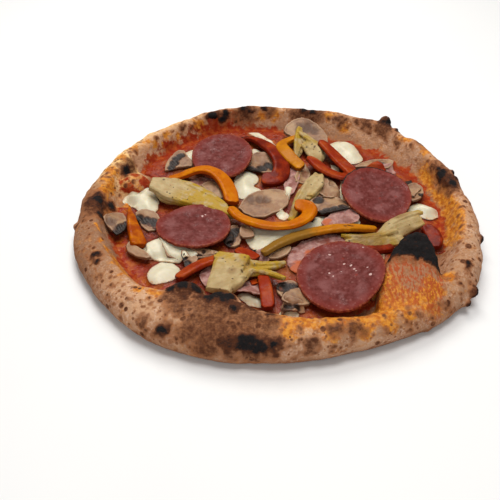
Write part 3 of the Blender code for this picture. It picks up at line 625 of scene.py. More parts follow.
moved = strayed(at, 2.0)
far_moved = strayed(at, 4.0)
black_line = up_flap + lumpy(at, (0.05, 6, 21), (0.03, 2.5, 22))
brown_line = up_flap + 0.1 * ripples(at, 5, 25)
baked = np.maximum.reduce([
    1.04 * spread(moved, BLACK, 0.35, 2.1),
    0.62 * spread(far_moved, SCORCH, 0.5, 1.8),
    0.80 * spread(far_moved, DEEP_SCORCH, 0.5, 1.7),
    0.66 * spread(moved, BROWN, 0.2, 1.7),
    0.60 * spread(moved, scattered(900, 1.2, 3.0, rim_top), 0.2, 1.4),
    1.04 * spread(moved, scattered(24, 2.2, 5.0, hidden), 0.3, 2.3),
    0.62 * spread(far_moved, scattered(26, 4, 10, hidden), 0.4, 1.6),
    1.15 * on_flap * eased(black_line, 0.58, 0.68),
    0.50 * on_flap * eased(brown_line, 0.46, 0.62),
])
print("share that is burnt", round(float((baked > 0.7).mean()), 3))

# %% Crust: sauce and oil on it
DOME = np.array((-111, 35, 8)) * MM
OILY_STRETCHES = (  # bearing of the middle, half width in degrees, near and far side in mm past the sauce
    (-72, 26, 4, 24), (2, 26, 1, 13), (176, 16, 1, 9), (-140, 18, 1, 9),
)
turn = np.degrees(np.arctan2(at[:, 1], at[:, 0]))


def stretch(middle, half, full):
    """1 within full degrees of a bearing, 0 from half degrees on."""
    return eased(-np.abs((turn - middle + 180) % 360 - 180), -half, -full)


dome = eased(-np.linalg.norm(at - DOME, axis=1) / MM, -17, -11) * eased(at[:, 2] / MM, 5, 8)
drips = 5.0 * ripples(at * (1, 1, 0.4), 9, 31) + 2.5 * ripples(at, 3.5, 33)
smear = eased(4.0 * stretch(122, 34, 16) - outside + drips, -5.0, 3.0)
smear = np.maximum(smear, dome * eased(ripples(at, 5, 35), -0.8, 0.2)) * (1 - on_flap)
wide_drift = 0.8 + lumpy(at, (0.5, 11, 36), (0.35, 4, 38))
oil = [spread(far_moved, OIL, 0.3, 1.5), 0.8 * on_flap * eased(-up_flap, -0.3, 0.1), 0.4 * dome]
for middle, half, near, far in OILY_STRETCHES:
    band = eased(outside, near - 2, near + 2) * eased(-outside, -far, 5 - far)
    oil.append(stretch(middle, half, half - 8) * band * wide_drift)
print("share that is smeared", round(float((smear > 0.5).mean()), 3))

# %% Crust: paint
# Golden crest on the back left: partly its own golden bake, partly a painted pool of light.
golden_and_lit = stretch(132, 48, 24) * eased(outside, 4, 14)
# Tanned layer: tan on the left, at the front right and in random patches. It is also darker towards the foot
# of the rim, partly browning from the oven floor and partly painted shade where the rim curves under.
tanned_and_shaded = np.maximum.reduce([
    0.7 * stretch(190, 34, 14), 0.35 * stretch(-38, 22, 8), 0.4 * eased(ripples(at, 24, 39), 0.0, 0.5),
    eased(-at[:, 2] / MM, -12, -2),
])
for name, values in {
    "baked": baked,
    "oiled": np.maximum.reduce(oil),
    "sauced": smear,
    "flap": on_flap * eased(-up_flap, -0.72, -0.6),
    "golden_and_lit": golden_and_lit,
    "tanned_and_shaded": tanned_and_shaded * (1 - golden_and_lit),
    "wall": eased(-outside, -18, -8) * eased(at[:, 1] / MM, -10, 30) * (1 - smear),
    "crest": eased(at[:, 2] / MM, 12, 21) * eased(facing[:, 2], 0.3, 0.95),
    "below": eased(-facing[:, 2], 0.6, 0.9),
    "freckled": rim_top,
}.items():
    paint(crust, name, values)
print("painted:", [layer.name for layer in crust.attributes])

# %% [markdown]
# ### The look of the crust
# The colour is built up as the real one was: pale dough first, toasted in patches, then flour, oil
# and sauce on it, and last the burns in three steps from tan to charcoal. Each step drifts with one
# ragged noise, more the darker it is, so the three outlines of a burn never run side by side. Light is
# painted in with the dough too: a painted pool of light on the golden crest and painted shade at the
# foot of the rim.

# %% Crust: dough, flour, oil and sauce
crust_look, tree, shader, spot = material("baked_crust", Specular_IOR_Level=0.12)
fine = clouds(tree, spot, 1.5, 6)
dough = blotches(tree, spot, 26.0, (0.46, 0.226, 0.122), (0.59, 0.340, 0.206))
# The golden crest gets a painted pool of light and the tanned layer gets painted shade at the foot of the
# rim, each over the crust's own colour.
for mark, most, tint in (
    ("crest", 0.35, (0.62, 0.36, 0.18)), ("golden_and_lit", 0.95, (0.98, 0.64, 0.26)),
    ("wall", 0.6, (0.62, 0.34, 0.185)), ("tanned_and_shaded", 0.9, (0.165, 0.062, 0.028)),
):
    dough = tinted(tree, dough, mark, most, tint)
patchy = above(tree, clouds(tree, spot, 17), 0.4, 0.6)
toast = mix(tree, patchy, (0.26, 0.105, 0.048), (0.50, 0.190, 0.045))
dough = blotches(tree, spot, 4.0, dough, mix(tree, 0.6, dough, toast), 0.48, 0.68)
flour = times(tree, above(tree, fine, 0.50, 0.60), above(tree, clouds(tree, spot, 12), 0.34, 0.58))
flour = times(tree, flour, calc(tree, "SUBTRACT", 1.0, painted(tree, "tanned_and_shaded")))
dough = tinted(tree, dough, flour, 0.5, (0.70, 0.49, 0.37))
dough = tinted(tree, dough, "flap", 0.75, (0.37, 0.165, 0.085))
oily = blotches(tree, spot, 3.0, (0.46, 0.120, 0.006), (0.72, 0.285, 0.030))
dough = tinted(tree, dough, torn(tree, spot, "oiled", -0.05, 0.9, tear=1.4), 0.97, oily)
stretched = add(tree, "Mapping", Vector=spot, Scale=(1.0, 0.42, 0.5), Rotation=(0, 0, -0.25)).outputs[0]
wrinkles = clouds(tree, stretched, 1.5, 4)
streaks = times(tree, above(tree, wrinkles, 0.45, 0.57), painted(tree, "flap"))
dough = tinted(tree, dough, streaks, 0.85, (0.42, 0.070, 0.018))
smeared = blotches(tree, spot, 5.0, (0.28, 0.024, 0.005), (0.40, 0.075, 0.014), 0.42, 0.66)
dough = mix(tree, torn(tree, spot, "sauced", 0.35, 0.9, 2.2, 1.5), dough, smeared)
print("dough:", len(tree.nodes), "nodes")

# %% Crust: burns, gloss and relief
leopard = times(tree, above(tree, clouds(tree, spot, 9, 5), 0.48, 0.72), painted(tree, "below"))
wide_freckles = times(tree, specks(tree, spot, 7.5, 0.34, 0.8), 0.66)
close_freckles = times(tree, specks(tree, spot, 3.4, 0.36, 0.5), 0.54)
freckles = times(tree, calc(tree, "MAXIMUM", wide_freckles, close_freckles), painted(tree, "freckled"))
cooked = calc(tree, "MAXIMUM", painted(tree, "baked"), calc(tree, "MAXIMUM", leopard, freckles))
charcoal = mix(tree, fine, (0.004, 0.0038, 0.004), (0.020, 0.017, 0.017))
ragged = calc(tree, "SUBTRACT", mix(tree, 0.45, clouds(tree, spot, 2.8, 6), fine), 0.5)
for low, high, most, drift_by, tint in (
    (0.14, 0.44, 0.72, 0.5, (0.31, 0.112, 0.042)), (0.38, 0.74, 0.94, 0.8, (0.078, 0.023, 0.010)),
    (0.72, 0.98, 1.0, 0.9, charcoal),
):
    drifting = calc(tree, "ADD", cooked, times(tree, ragged, drift_by))
    dough = tinted(tree, dough, above(tree, drifting, low, high), most, tint)
gloss = mix(tree, torn(tree, spot, "oiled", 0.2, 0.9), (0.9, 0.9, 0.9), (0.5, 0.5, 0.5))
crumble = times(tree, clouds(tree, spot, 2.6, 4), above(tree, cooked, 0.5, 0.9))
relief = calc(tree, "ADD", times(tree, wrinkles, painted(tree, "flap")), crumble)
relief = add(tree, "Bump", Height=relief, Distance=1.1 * MM, Normal=grain(tree, spot, 3.2, 0.9, 0.9, 0.35))
feed(tree, shader, Base_Color=dough, Roughness=gloss, Normal=relief.outputs["Normal"])
dressed(crust, "crust_baked", "crust", crust_look)
crust_tree = BVHTree.FromPolygons(at.tolist(), [p.vertices[:] for p in crust.polygons])
print("crust look:", len(tree.nodes), "nodes")

# %% [markdown]
# ## Tomato sauce
# Cooked sauce lies in the hollow of the crust, laps up its foot with a ragged edge, and swells
# round whatever sits in it. The CAD skin is even and a millimetre thick. Here a fine grid is
# dropped on the crust: each point stands on the dough by a thickness that falls below nothing past
# the edge, so the line where the sauce ends is the line where grid and dough cross.

# %% Sauce: what lies above each point
GRID = 210  # cells across
HALF = 0.132  # half the width of the grid, in metres
FREE = 9.0  # the room over a point that nothing covers, in mm
BASE_TOP = 0.004  # height of the dough where a ray finds none, in metres
INSIDE_FLAP = 0.005  # height taken under the flap, in metres
LOOKED_UP = 14  # how far past the sauce's edge the ground is looked up, in mm
DOWN = Vector((0, 0, -1))
RAY_START = 0.1  # rays start there, in metres over the table
bm = bmesh.new()
bmesh.ops.create_grid(bm, x_segments=GRID, y_segments=GRID, size=HALF)
sauce = bpy.data.meshes.new("sauce")
bm.to_mesh(sauce)
bm.free()
at = places(sauce)
outside = past_sauce(at)


def of_kind(*kinds):
    return [name for name in frame["nodes"] if name.startswith(kinds)]


def solids_tree(names):
    """One tree for ray casts on several CAD nodes."""
    points, faces = [], []
    for name in names:
        mesh = frame["nodes"][name].data
        start = len(points)
        points += [v.co[:] for v in mesh.vertices]
        faces += [[start + i for i in p.vertices] for p in mesh.polygons]
    return BVHTree.FromPolygons(points, faces)


TOPPINGS = [name for name in frame["nodes"] if name not in ("crust", "tomato_sauce")]
topping_tree = solids_tree(TOPPINGS)
ground = np.zeros(len(at))
room = np.full(len(at), FREE)
for i, (x, y, _) in enumerate(at):
    if outside[i] < LOOKED_UP:
        hit = crust_tree.ray_cast(Vector((x, y, RAY_START)), DOWN)[0]
        ground[i] = hit.z if hit else BASE_TOP
        over = topping_tree.ray_cast(Vector((x, y, ground[i] + 0.5 * MM)), -DOWN)[0]
        room[i] = (over.z - ground[i]) / MM if over else FREE
under_flap = flap_cover(np.column_stack([at[:, :2], ground]))[0] > 0.05
ground[under_flap] = INSIDE_FLAP
print("share of the sauce under toppings", round(float((room < FREE).mean()), 2))

# %% Sauce: shape
SHEET = 0.003  # depth of the sheet of sauce, in metres
LOWEST = 0.0015  # underside of the sheet, in metres over the table
KEPT = 7  # how far past its edge the sheet is kept, in mm


def blurred(grid, times_over):
    """A grid of values smoothed by averaging each with its neighbours."""
    for _ in range(times_over):
        padded = np.pad(grid, 1, mode="edge")
        grid = (padded[:-2, 1:-1] + padded[2:, 1:-1] + padded[1:-1, :-2] + padded[1:-1, 2:]) / 4
    return grid


def extruded(bm, faces):
    """Extrudes faces and returns the new vertices."""
    grown = bmesh.ops.extrude_face_region(bm, geom=faces)["geom"]
    return [part for part in grown if isinstance(part, bmesh.types.BMVert)]


square = (GRID + 1, GRID + 1)
swollen = blurred((room < 4.5).astype(float).reshape(square), 4).ravel()
# Painted shade: where toppings cover the sauce, blurred, so that the sauce is darker under and round them.
shade = blurred((room < FREE).astype(float).reshape(square), 9)
inner = eased(-outside, 1, 9)
thickness = 0.2 + inner * (1.2 + lumpy(at, (0.5, 7, 41), (0.3, 3.2, 43))) + 1.9 * swollen * inner
thickness -= 2.2 * eased(outside + 2.5 * ripples(at, 6, 45), -3.5, 0.5)
at[:, 2] = ground + thickness * MM
move_to(sauce, at)
bm = bmesh.new()
bm.from_mesh(sauce)
gone = [v for v, far in zip(bm.verts, outside) if far > KEPT]
bmesh.ops.delete(bm, geom=gone, context="VERTS")
for vert in extruded(bm, bm.faces[:]):
    vert.co.z = max(LOWEST, vert.co.z - SHEET)
bmesh.ops.recalc_face_normals(bm, faces=bm.faces)
bm.to_mesh(sauce)
bm.free()
at = places(sauce)
sauce_tree = BVHTree.FromPolygons(at.tolist(), [p.vertices[:] for p in sauce.polygons])
print("sauce:", len(sauce.polygons), "faces")

# %% Sauce: paint and material
column, row = np.clip(np.round((at[:, :2].T / (HALF * 2) + 0.5) * GRID).astype(int), 0, GRID)
paint(sauce, "inner", eased(-past_sauce(at), 2, 16))
paint(sauce, "far", eased(at[:, 1] / MM + 8 * ripples(at, 12, 47), -15, 25))
paint(sauce, "shaded", eased(shade[row, column], 0.05, 0.6))
sauce_look, tree, shader, spot = material("cooked_tomato", Specular_IOR_Level=0.22)
pulp = blotches(tree, spot, 3.2, (0.16, 0.010, 0.002), (0.30, 0.032, 0.005), 0.36, 0.62)
pulp = blotches(tree, spot, 16.0, pulp, (0.38, 0.095, 0.010), 0.46, 0.64)
brim = blotches(tree, spot, 5.0, (0.29, 0.022, 0.003), (0.46, 0.115, 0.012), 0.40, 0.64)
brim = tinted(tree, brim, "far", 0.8, (0.25, 0.020, 0.003))
pulp = mix(tree, painted(tree, "inner"), brim, pulp)
# Painted shade under and round the toppings.
pulp = tinted(tree, pulp, "shaded", 0.6, (0.075, 0.007, 0.002))
pulp = tinted(tree, pulp, specks(tree, spot, 3.4, 0.22, 0.4), 0.6, (0.11, 0.012, 0.003))
pulp = tinted(tree, pulp, specks(tree, spot, 2.3, 0.22, 0.3), 0.7, (0.44, 0.14, 0.012))
wet = blotches(tree, spot, 6.0, (0.22, 0.22, 0.22), (0.55, 0.55, 0.55))
feed(tree, shader, Base_Color=pulp, Roughness=wet, Normal=grain(tree, spot, 3.0, 0.9, 1.0, 0.25))
dressed(sauce, "sauce_cooked", "tomato_sauce", sauce_look)
print("sauce look:", len(tree.nodes), "nodes")

# %% [markdown]
# ## What all the toppings share
# Every slice and pool lies in sauce, so its foot is stained. `lifted` gives the height of each
# vertex over the sauce beneath it, and `edge_gap` its distance from the outline of its piece, seen
# from above. A pool thins towards its outline, a slice of mushroom has its skin there.


# %% Height and distance from the edge
SLICE_FACES = 0.5  # mm


def lifted(points):
    """The height of each point over the sauce or dough under it, in mm."""
    found = np.zeros(len(points))
    for i, (x, y, z) in enumerate(points.tolist()):
        start = Vector((x, y, RAY_START))
        hit = sauce_tree.ray_cast(start, DOWN)[0] or crust_tree.ray_cast(start, DOWN)[0]
        found[i] = (z - hit.z) / MM if hit else 0.0
    return found


def edge_gap(points, facing):
    """The distance of each point from the outline of its piece in plan, in mm."""
    rim = np.flatnonzero(np.abs(facing[:, 2]) < 0.4)
    outline = KDTree(len(rim))
    for i in rim:
        outline.insert((points[i, 0], points[i, 1], 0), int(i))
    outline.balance()
    return np.array([outline.find((x, y, 0))[2] for x, y in points[:, :2].tolist()]) / MM


def sideways(facing):
    """How steep the surface is: 0 where it faces up or down, 1 where it faces aside."""
    return 1 - np.abs(facing[:, 2])


def paint_foot(mesh, points, most=1.6, least=0.3):
    """Paints the foot of a piece: all of it under least mm over the sauce, none over most."""
    paint(mesh, "foot", eased(-lifted(points), -most, -least))


def stained(tree, spot, colour, stain, most):
    """The colour with the sauce's stain on its foot."""
    return tinted(tree, colour, torn(tree, spot, "foot"), most, stain)


print(len(TOPPINGS), "toppings to dress")

# %% [markdown]
# ## Cheese
# Fresh mozzarella melts into white pools with a soft sheen, thin and orange at the edge where they
# meet the sauce, thicker and slightly lumpy in the middle. Light goes some way into it, so it gets
# subsurface scattering. Orange oil gathers in small stains.

# %% Cheese: material
cheese_look, tree, shader, spot = material(
    "melted_cheese", Roughness=0.32, Specular_IOR_Level=0.3, Subsurface_Weight=0.3, Subsurface_Scale=0.002
)
shader.inputs["Subsurface Radius"].default_value = (1.0, 0.7, 0.4)
milk = blotches(tree, spot, 10.0, (0.63, 0.565, 0.395), (0.72, 0.67, 0.50))
milk = tinted(tree, milk, "brim", 0.4, (0.60, 0.48, 0.34))
milk = stained(tree, spot, milk, (0.50, 0.19, 0.075), 0.6)
milk = tinted(tree, milk, torn(tree, spot, "brim", 0.8, 1.3, 2.4, 2.0), 0.5, (0.60, 0.27, 0.09))
feed(tree, shader, Base_Color=milk, Normal=grain(tree, spot, 7.0, 0.5, 1.8, 0.05))
print("cheese look:", len(tree.nodes), "nodes")


# %% Cheese: pools
CHEESE_FACES = 0.6
ALL_WAYS = {"use_axis_x": True, "use_axis_y": True, "use_axis_z": True}


def soften(mesh, times_over):
    """Moves each vertex towards the middle of its neighbours, so that creases run out."""
    bm = bmesh.new()
    bm.from_mesh(mesh)
    for _ in range(times_over):
        bmesh.ops.smooth_vert(bm, verts=bm.verts, factor=0.5, **ALL_WAYS)
    bm.to_mesh(mesh)
    bm.free()


def melted(node):
    """One pool of cheese: it thins towards a wandering edge."""
    mesh = fine_mesh(node, CHEESE_FACES)
    at, facing = places(mesh), facings(mesh)
    gap = edge_gap(at, facing)
    height = np.maximum(lifted(at), 0)
    wander = sideways(facing) * (1.1 + lumpy(at, (2.0, 7, 55), (1.0, 3.4, 57)))
    at = pushed(at, facing, 0.2 + 0.3 * ripples(at, 9, 51) + wander)
    at[:, 2] -= height * MM * (0.88 - 0.76 * eased(gap, -0.5, 8.5))
    move_to(mesh, at)
    soften(mesh, 8)
    paint(mesh, "foot", eased(-lifted(places(mesh)), -0.7, 0.0) * eased(-gap, -5, -1))
    paint(mesh, "brim", eased(-gap, -4, 0))
    return dressed(mesh, node + "_melted", node, cheese_look)


pools = [melted(node) for node in of_kind("cheese")]
print(len(pools), "pools of cheese")

# %% [markdown]
# ## Salami
# The slices are dense, purple-brown meat with small specks of fat, a redder rim where the skin
# was, and an oily film. The light off that film is partly painted: painted glints, and a painted
# sheen in broad pale patches that also carry the meat's own paler tone. A sliced sausage is nearly
# an ellipse, so the outline of each copy is drawn to the smooth curve that fits it best, and only
# then gets the small unevenness of a real edge.

# %% Salami: material
salami_look, tree, shader, spot = material("baked_salami", Specular_IOR_Level=0.14)
meat = blotches(tree, spot, 3.6, (0.110, 0.016, 0.012), (0.165, 0.036, 0.031), 0.38, 0.62)
# Broad paler patches: partly the meat's own paler tone, partly a painted sheen.
meat = blotches(tree, spot, 12.0, meat, (0.220, 0.072, 0.066), 0.46, 0.68)
meat = tinted(tree, meat, "ring", 0.6, (0.20, 0.020, 0.011))
meat = tinted(tree, meat, specks(tree, spot, 2.3, 0.42, 0.3), 0.3, (0.34, 0.14, 0.12))
meat = tinted(tree, meat, specks(tree, spot, 1.5, 0.35, 0.25), 0.5, (0.10, 0.012, 0.010))
meat = tinted(tree, meat, specks(tree, spot, 6.0, 0.22, 0.35), 0.5, (0.26, 0.022, 0.010))
# Painted glints: pale marks in place of highlights off the oily film.
meat = mix(tree, torn(tree, spot, "glinting", 0.4, 0.8, 0.9), meat, (0.60, 0.40, 0.36))
casing = blotches(tree, spot, 2.0, (0.15, 0.016, 0.008), (0.30, 0.070, 0.026), 0.4, 0.62)
meat = tinted(tree, meat, "skin", 0.8, casing)
meat = mix(tree, torn(tree, spot, "burnt"), meat, (0.020, 0.010, 0.008))
film = blotches(tree, spot, 7.0, (0.20, 0.20, 0.20), (0.70, 0.70, 0.70), 0.32, 0.5)
feed(tree, shader, Base_Color=meat, Roughness=film, Normal=grain(tree, spot, 2.4, 0.6, 0.8, 0.16))
print("salami look:", len(tree.nodes), "nodes")

# %% Salami: marks
# Painted glints: small pale marks, x, y and radius in mm, that stand in for highlights off the oily film.
PAINTED_GLINTS = (
    (-54, -13, 1.0), (-52, -11, 0.7), (47, -70, 0.9), (49, -74, 1.0), (50, -76, 0.7), (33, -75, 0.8),
    (35, -78, 0.7), (57, -76, 0.8), (58, -83, 1.0), (57, -56, 0.6), (43, -67, 0.8), (41, -74, 0.6),
    (35, -58, 0.7),
)
SALAMI_BURNS = ((-84, -23, 14, 1.2), (-66, 88, 13, 1.5))
print(len(PAINTED_GLINTS), "painted glints,", len(SALAMI_BURNS), "burns")

# %% Salami: slices
BEARINGS = np.linspace(-math.pi, math.pi, 120)
BEARING_WINDOW = 0.06
FLATTENED = 0.6  # how far a slice is drawn to its own plane
SLICE_THICKNESS = 2.5  # mm


def slice_of_salami(node):
    """A slice drawn to the ellipse that fits its CAD solid, lying almost flat on its own plane."""
    mesh = fine_mesh(node, SLICE_FACES, levels=0, relax=5)
    at, facing = places(mesh), facings(mesh)
    low, high = at.min(axis=0), at.max(axis=0)
    middle, half = (low + high) / 2, (high - low) / 2
    away = at[:, :2] - middle[:2]
    turn = np.arctan2(away[:, 1], away[:, 0])
    radius = np.hypot(*away.T)
    gaps = (np.abs((turn - a + math.pi) % math.tau - math.pi) for a in BEARINGS)
    share = radius / np.interp(turn, BEARINGS, [radius[gap < BEARING_WINDOW].max() for gap in gaps])
    round_edge = np.column_stack([np.cos(turn), np.sin(turn), 0 * turn]) * 20 * MM + middle
    ellipse = 1 / np.hypot(np.cos(turn) / half[0], np.sin(turn) / half[1])
    uneven = share * ellipse * (1 + 0.006 * ripples(round_edge, 2.5, 67))
    at[:, :2] = middle[:2] + away / radius[:, None] * uneven[:, None]
    upper = facing[:, 2] > 0.3
    flat = np.column_stack([at[:, 0], at[:, 1], np.ones(len(at))])
    sheet = flat @ np.linalg.lstsq(flat[upper], at[upper, 2], rcond=None)[0]
    column_top = np.where(upper, at[:, 2], at[:, 2] + SLICE_THICKNESS * MM)
    at[:, 2] += FLATTENED * (sheet - column_top)
    waves = ripples(round_edge, 9, 61)
    at[:, 2] += ((0.5 + 0.8 * waves) * eased(share, 0.86, 1.0) + 0.4 * ripples(at, 11, 63)) * MM
    paint(mesh, "skin", eased(share, 0.93, 0.985))
    paint(mesh, "ring", eased(share + 0.03 * ripples(at, 6, 65), 0.7, 0.95))
    paint(mesh, "glinting", spread_in_plan(strayed(at, 1.2), PAINTED_GLINTS, 0.5, 1.3))
    burnt = spread(strayed(at, 1), SALAMI_BURNS, 0.6, 1.3)
    if node == "salami_right":
        charred = eased(np.sin(turn) - 0.35 * np.cos(turn) + 0.3 * waves, 0.35, 0.75)
        burnt = np.maximum(burnt, eased(share + 0.02 * ripples(at, 3, 69), 0.93, 0.97) * charred)
    paint(mesh, "burnt", burnt)
    move_to(mesh, at)
    return dressed(mesh, node + "_slice", node, salami_look)


slices = [slice_of_salami(node) for node in of_kind("salami")]
print(len(slices), "slices of salami")

# %% [markdown]
# ## Ham
# Thin, torn sheets of cooked ham: pink, with an edge that never runs straight. Noise on the side
# faces alone tears the outline, and noise on the height folds the sheet.

# %% Ham: material
ham_look, tree, shader, spot = material(
    "cooked_ham", Roughness=0.5, Specular_IOR_Level=0.25, Subsurface_Weight=0.1, Subsurface_Scale=0.0015
)
pink = blotches(tree, spot, 4.5, (0.30, 0.125, 0.105), (0.46, 0.25, 0.21))
pink = blotches(tree, spot, 11.0, pink, (0.24, 0.085, 0.062), 0.5, 0.64)
pink = mix(tree, torn(tree, spot, "reddened", 0.3, 0.9, 2.2, 1.2), pink, (0.46, 0.10, 0.028))
pink = tinted(tree, pink, "brim", 0.5, (0.52, 0.30, 0.24))
pink = stained(tree, spot, pink, (0.22, 0.035, 0.014), 0.7)
feed(tree, shader, Base_Color=pink, Normal=grain(tree, spot, 2.2, 0.5, 0.8, 0.1))
print("ham look:", len(tree.nodes), "nodes")

# %% Ham: sheets
HAM_STAINS = ((16, -60, 8, 7), (10, -66, 8, 6), (24, -48, 8, 5), (38, -14, 9, 5), (34, -20, 9, 4))


def torn_sheet(node):
    mesh = fine_mesh(node, SLICE_FACES, levels=1)
    at, facing = places(mesh), facings(mesh)
    gap = edge_gap(at, facing)
    at = pushed(at, facing, 0.2 + 1.6 * sideways(facing) * ripples(at, 3.5, 71))
    folds = lumpy(at, (0.7, 8, 73), (0.4, 3.5, 75)) + 0.5 * eased(-gap, -1.5, 0)
    at[:, 2] += (folds + 0.2) * MM
    paint(mesh, "reddened", spread(strayed(at, 3), HAM_STAINS, 0.4, 1.6))
    paint(mesh, "brim", eased(-gap, -1.2, -0.2))
    paint_foot(mesh, at, 1.4, 0.2)
    move_to(mesh, at)
    return dressed(mesh, node + "_sheet", node, ham_look)


sheets = [torn_sheet(node) for node in of_kind("ham")]
print(len(sheets), "sheets of ham")

# %% [markdown]
# ## Mushrooms
# Cooked slices are grey-beige and wet, dished between a raised rim, with a browner skin along the
# edge. What makes them read as mushrooms is the gills: a dark, feathered band of fine parallel
# blades. Each band is a chain of marks by place, and the blades are ridges pressed into it.

# %% Mushrooms: gills and hollows
GILLS = (
    (-112, -25, 12, 4.0), (-114, -30, 11, 3.4), (-109, -19, 11, 2.4), (-101, -9, 9, 2.6),
    (-96, -12, 9, 3.0), (-91, -14, 9, 3.4), (-87, -18, 9, 3.0), (-77, 71, 12, 2.8), (-80, 67, 11, 3.0),
    (-82, 62, 11, 3.0), (-84, 57, 9, 2.6), (-42, 15, 7, 2.3), (22, 19, 8, 2.6), (34, 13, 9, 2.6),
    (-36, -37, 8, 3.4), (-34, -33, 8, 3.4), (-32, -28, 9, 3.2), (-30, -24, 9, 2.6), (-19, 52, 11, 3.3),
    (-15, 51, 10, 3.3), (-10, 55, 9, 3.3), (-5, 60, 9, 2.9), (-1, 57, 8, 2.8), (40, 19, 9, 1.4),
    (29, 16, 8, 3.6), (33, 9, 12, 3.1), (38, -7, 13, 3.7), (44, -6, 14, 3.7), (50, -3, 14, 3.0),
    (34, -6, 11, 2.4), (87, 64, 9, 1.9), (90, 61, 9, 2.5), (113, 17, 10, 2.4), (2, -81, 9, 3.4),
    (7, -83, 9, 3.6), (11, -84, 9, 2.6), (5, -88, 9, 2.4), (5, -102, 9, 3.2), (9, -101, 9, 2.6),
    (-65, -55, 11, 2.1), (-62, -60, 10, 2.1), (-58, -51, 8, 1.9), (-52, -48, 9, 1.9),
    (-47, -47, 8, 1.9),
)
HOLLOWS = (
    (-18, 12, 9, 4.0), (-13, 13, 10, 4.0), (-8, 13, 9, 3.6), (-121, -20, 15, 4.0), (25, 108, 17, 5.0),
    (31, 109, 17, 5.4), (36, 106, 17, 4.6), (30, 24, 8, 4), (44, 30, 8, 3),
)
print(len(GILLS), "marks of gills,", len(HOLLOWS), "hollows")

# %% Mushrooms: material
mushroom_look, tree, shader, spot = material(
    "cooked_mushroom", Roughness=0.45, Specular_IOR_Level=0.25, Subsurface_Weight=0.1, Subsurface_Scale=0.001
)
flesh = blotches(tree, spot, 7.0, (0.31, 0.165, 0.086), (0.19, 0.090, 0.046), 0.4, 0.7)
flesh = blotches(tree, spot, 13.0, flesh, (0.40, 0.240, 0.127), 0.48, 0.66)
flesh = tinted(tree, flesh, "rim", 0.6, (0.47, 0.30, 0.185))
flesh = tinted(tree, flesh, "skin", 0.7, (0.14, 0.065, 0.034))
flesh = tinted(tree, flesh, "hollow", 0.85, (0.095, 0.042, 0.021))
flesh = mix(tree, torn(tree, spot, "gills", 0.1, 0.4, 2.0, 0.3), flesh, (0.095, 0.046, 0.027))
flesh = tinted(tree, flesh, torn(tree, spot, "gills", 0.35, 0.85, 1.3, 0.8), 0.92, (0.014, 0.009, 0.007))
flesh = stained(tree, spot, flesh, (0.18, 0.040, 0.014), 0.7)
feed(tree, shader, Base_Color=flesh, Normal=grain(tree, spot, 2.5, 0.5, 0.8, 0.08))
print("mushroom look:", len(tree.nodes), "nodes")

# %% Mushrooms: slices
BLADES_A_MM = 0.5


def gilled(mesh, at, facing):
    """Presses the gills and hollows into a slice, and paints them, its rim and its skin."""
    gap = edge_gap(at, facing)
    gills = spread(strayed(at, 0.7), GILLS, 0.85, 1.8)
    hollow = spread(strayed(at, 1.5), HOLLOWS, 0.5, 1.6)
    across = (at[:, 0] * 0.8 + at[:, 1] * 0.6) / MM
    blades = np.sin(across * BLADES_A_MM * math.tau + 2 * ripples(at, 5, 85))
    upward = eased(facing[:, 2], 0.3, 0.8)
    sink = upward * (0.45 * eased(gap, 0.8, 2.2) + 0.8 * gills - 0.12 * gills * blades + 0.8 * hollow)
    at[:, 2] -= sink * MM
    paint(mesh, "gills", gills * (0.92 + 0.08 * blades))
    paint(mesh, "hollow", hollow)
    paint(mesh, "rim", eased(-gap, -1.4, -0.5) * upward)
    paint(mesh, "skin", eased(sideways(facing), 0.5, 0.95))
    paint_foot(mesh, at)


def cooked_mushroom(node):
    mesh = fine_mesh(node, SLICE_FACES, levels=0, relax=5)
    at, facing = places(mesh), facings(mesh)
    at = pushed(at, facing, 0.2 * ripples(at, 7, 81) + sideways(facing) * ripples(at, 5, 83))
    at[:, 2] += 0.5 * ripples(at, 10, 87) * MM
    gilled(mesh, at, facing)
    move_to(mesh, at)
    return dressed(mesh, node + "_cooked", node, mushroom_look)


slices = [cooked_mushroom(node) for node in of_kind("mushroom")]
print(len(slices), "slices of mushroom")

# %% [markdown]
# ## Strips
# Peppers are cut into strips and artichoke hearts fall into leaves. Both are the same shape to a
# modeller: a flat section drawn along a path, with its own width at every station and a lean. The
# section is one face. It is extruded from station to station, and each time the new end is moved
# and turned to the next. The path is given in plan, and the CAD solid gives the height, so a strip
# lies where its solid does.


# %% Strip
SECTION = (  # x and z, as shares of the width and the thickness
    (-0.5, -0.3), (-0.46, 0.32), (-0.36, 0.5), (0.36, 0.5), (0.46, 0.32), (0.5, -0.3), (0.3, -0.5),
    (-0.3, -0.5),
)
STATION = 2  # mm from one station to the next
PILE_HEIGHT = 0.02  # about where the toppings lie, in metres


def evenly(values, count, softening=12):
    """Values respaced to a number of stations along their path, with its corners eased."""
    values = np.array(values, float)
    steps = np.linalg.norm(np.diff(values[:, :2], axis=0), axis=1)
    along = np.concatenate([[0], np.cumsum(steps)]) / steps.sum()
    line = np.column_stack([np.interp(np.linspace(0, 1, count), along, column) for column in values.T])
    for _ in range(softening):
        line[1:-1] = (line[:-2] + 2 * line[1:-1] + line[2:]) / 4
    return line


def height_over(solid, x, y):
    """The height of a solid's top over a point in plan, in metres, or of its nearest point."""
    hit = solid.ray_cast(Vector((x, y, RAY_START)), DOWN)[0]
    return (hit or solid.find_nearest(Vector((x, y, PILE_HEIGHT)))[0]).z


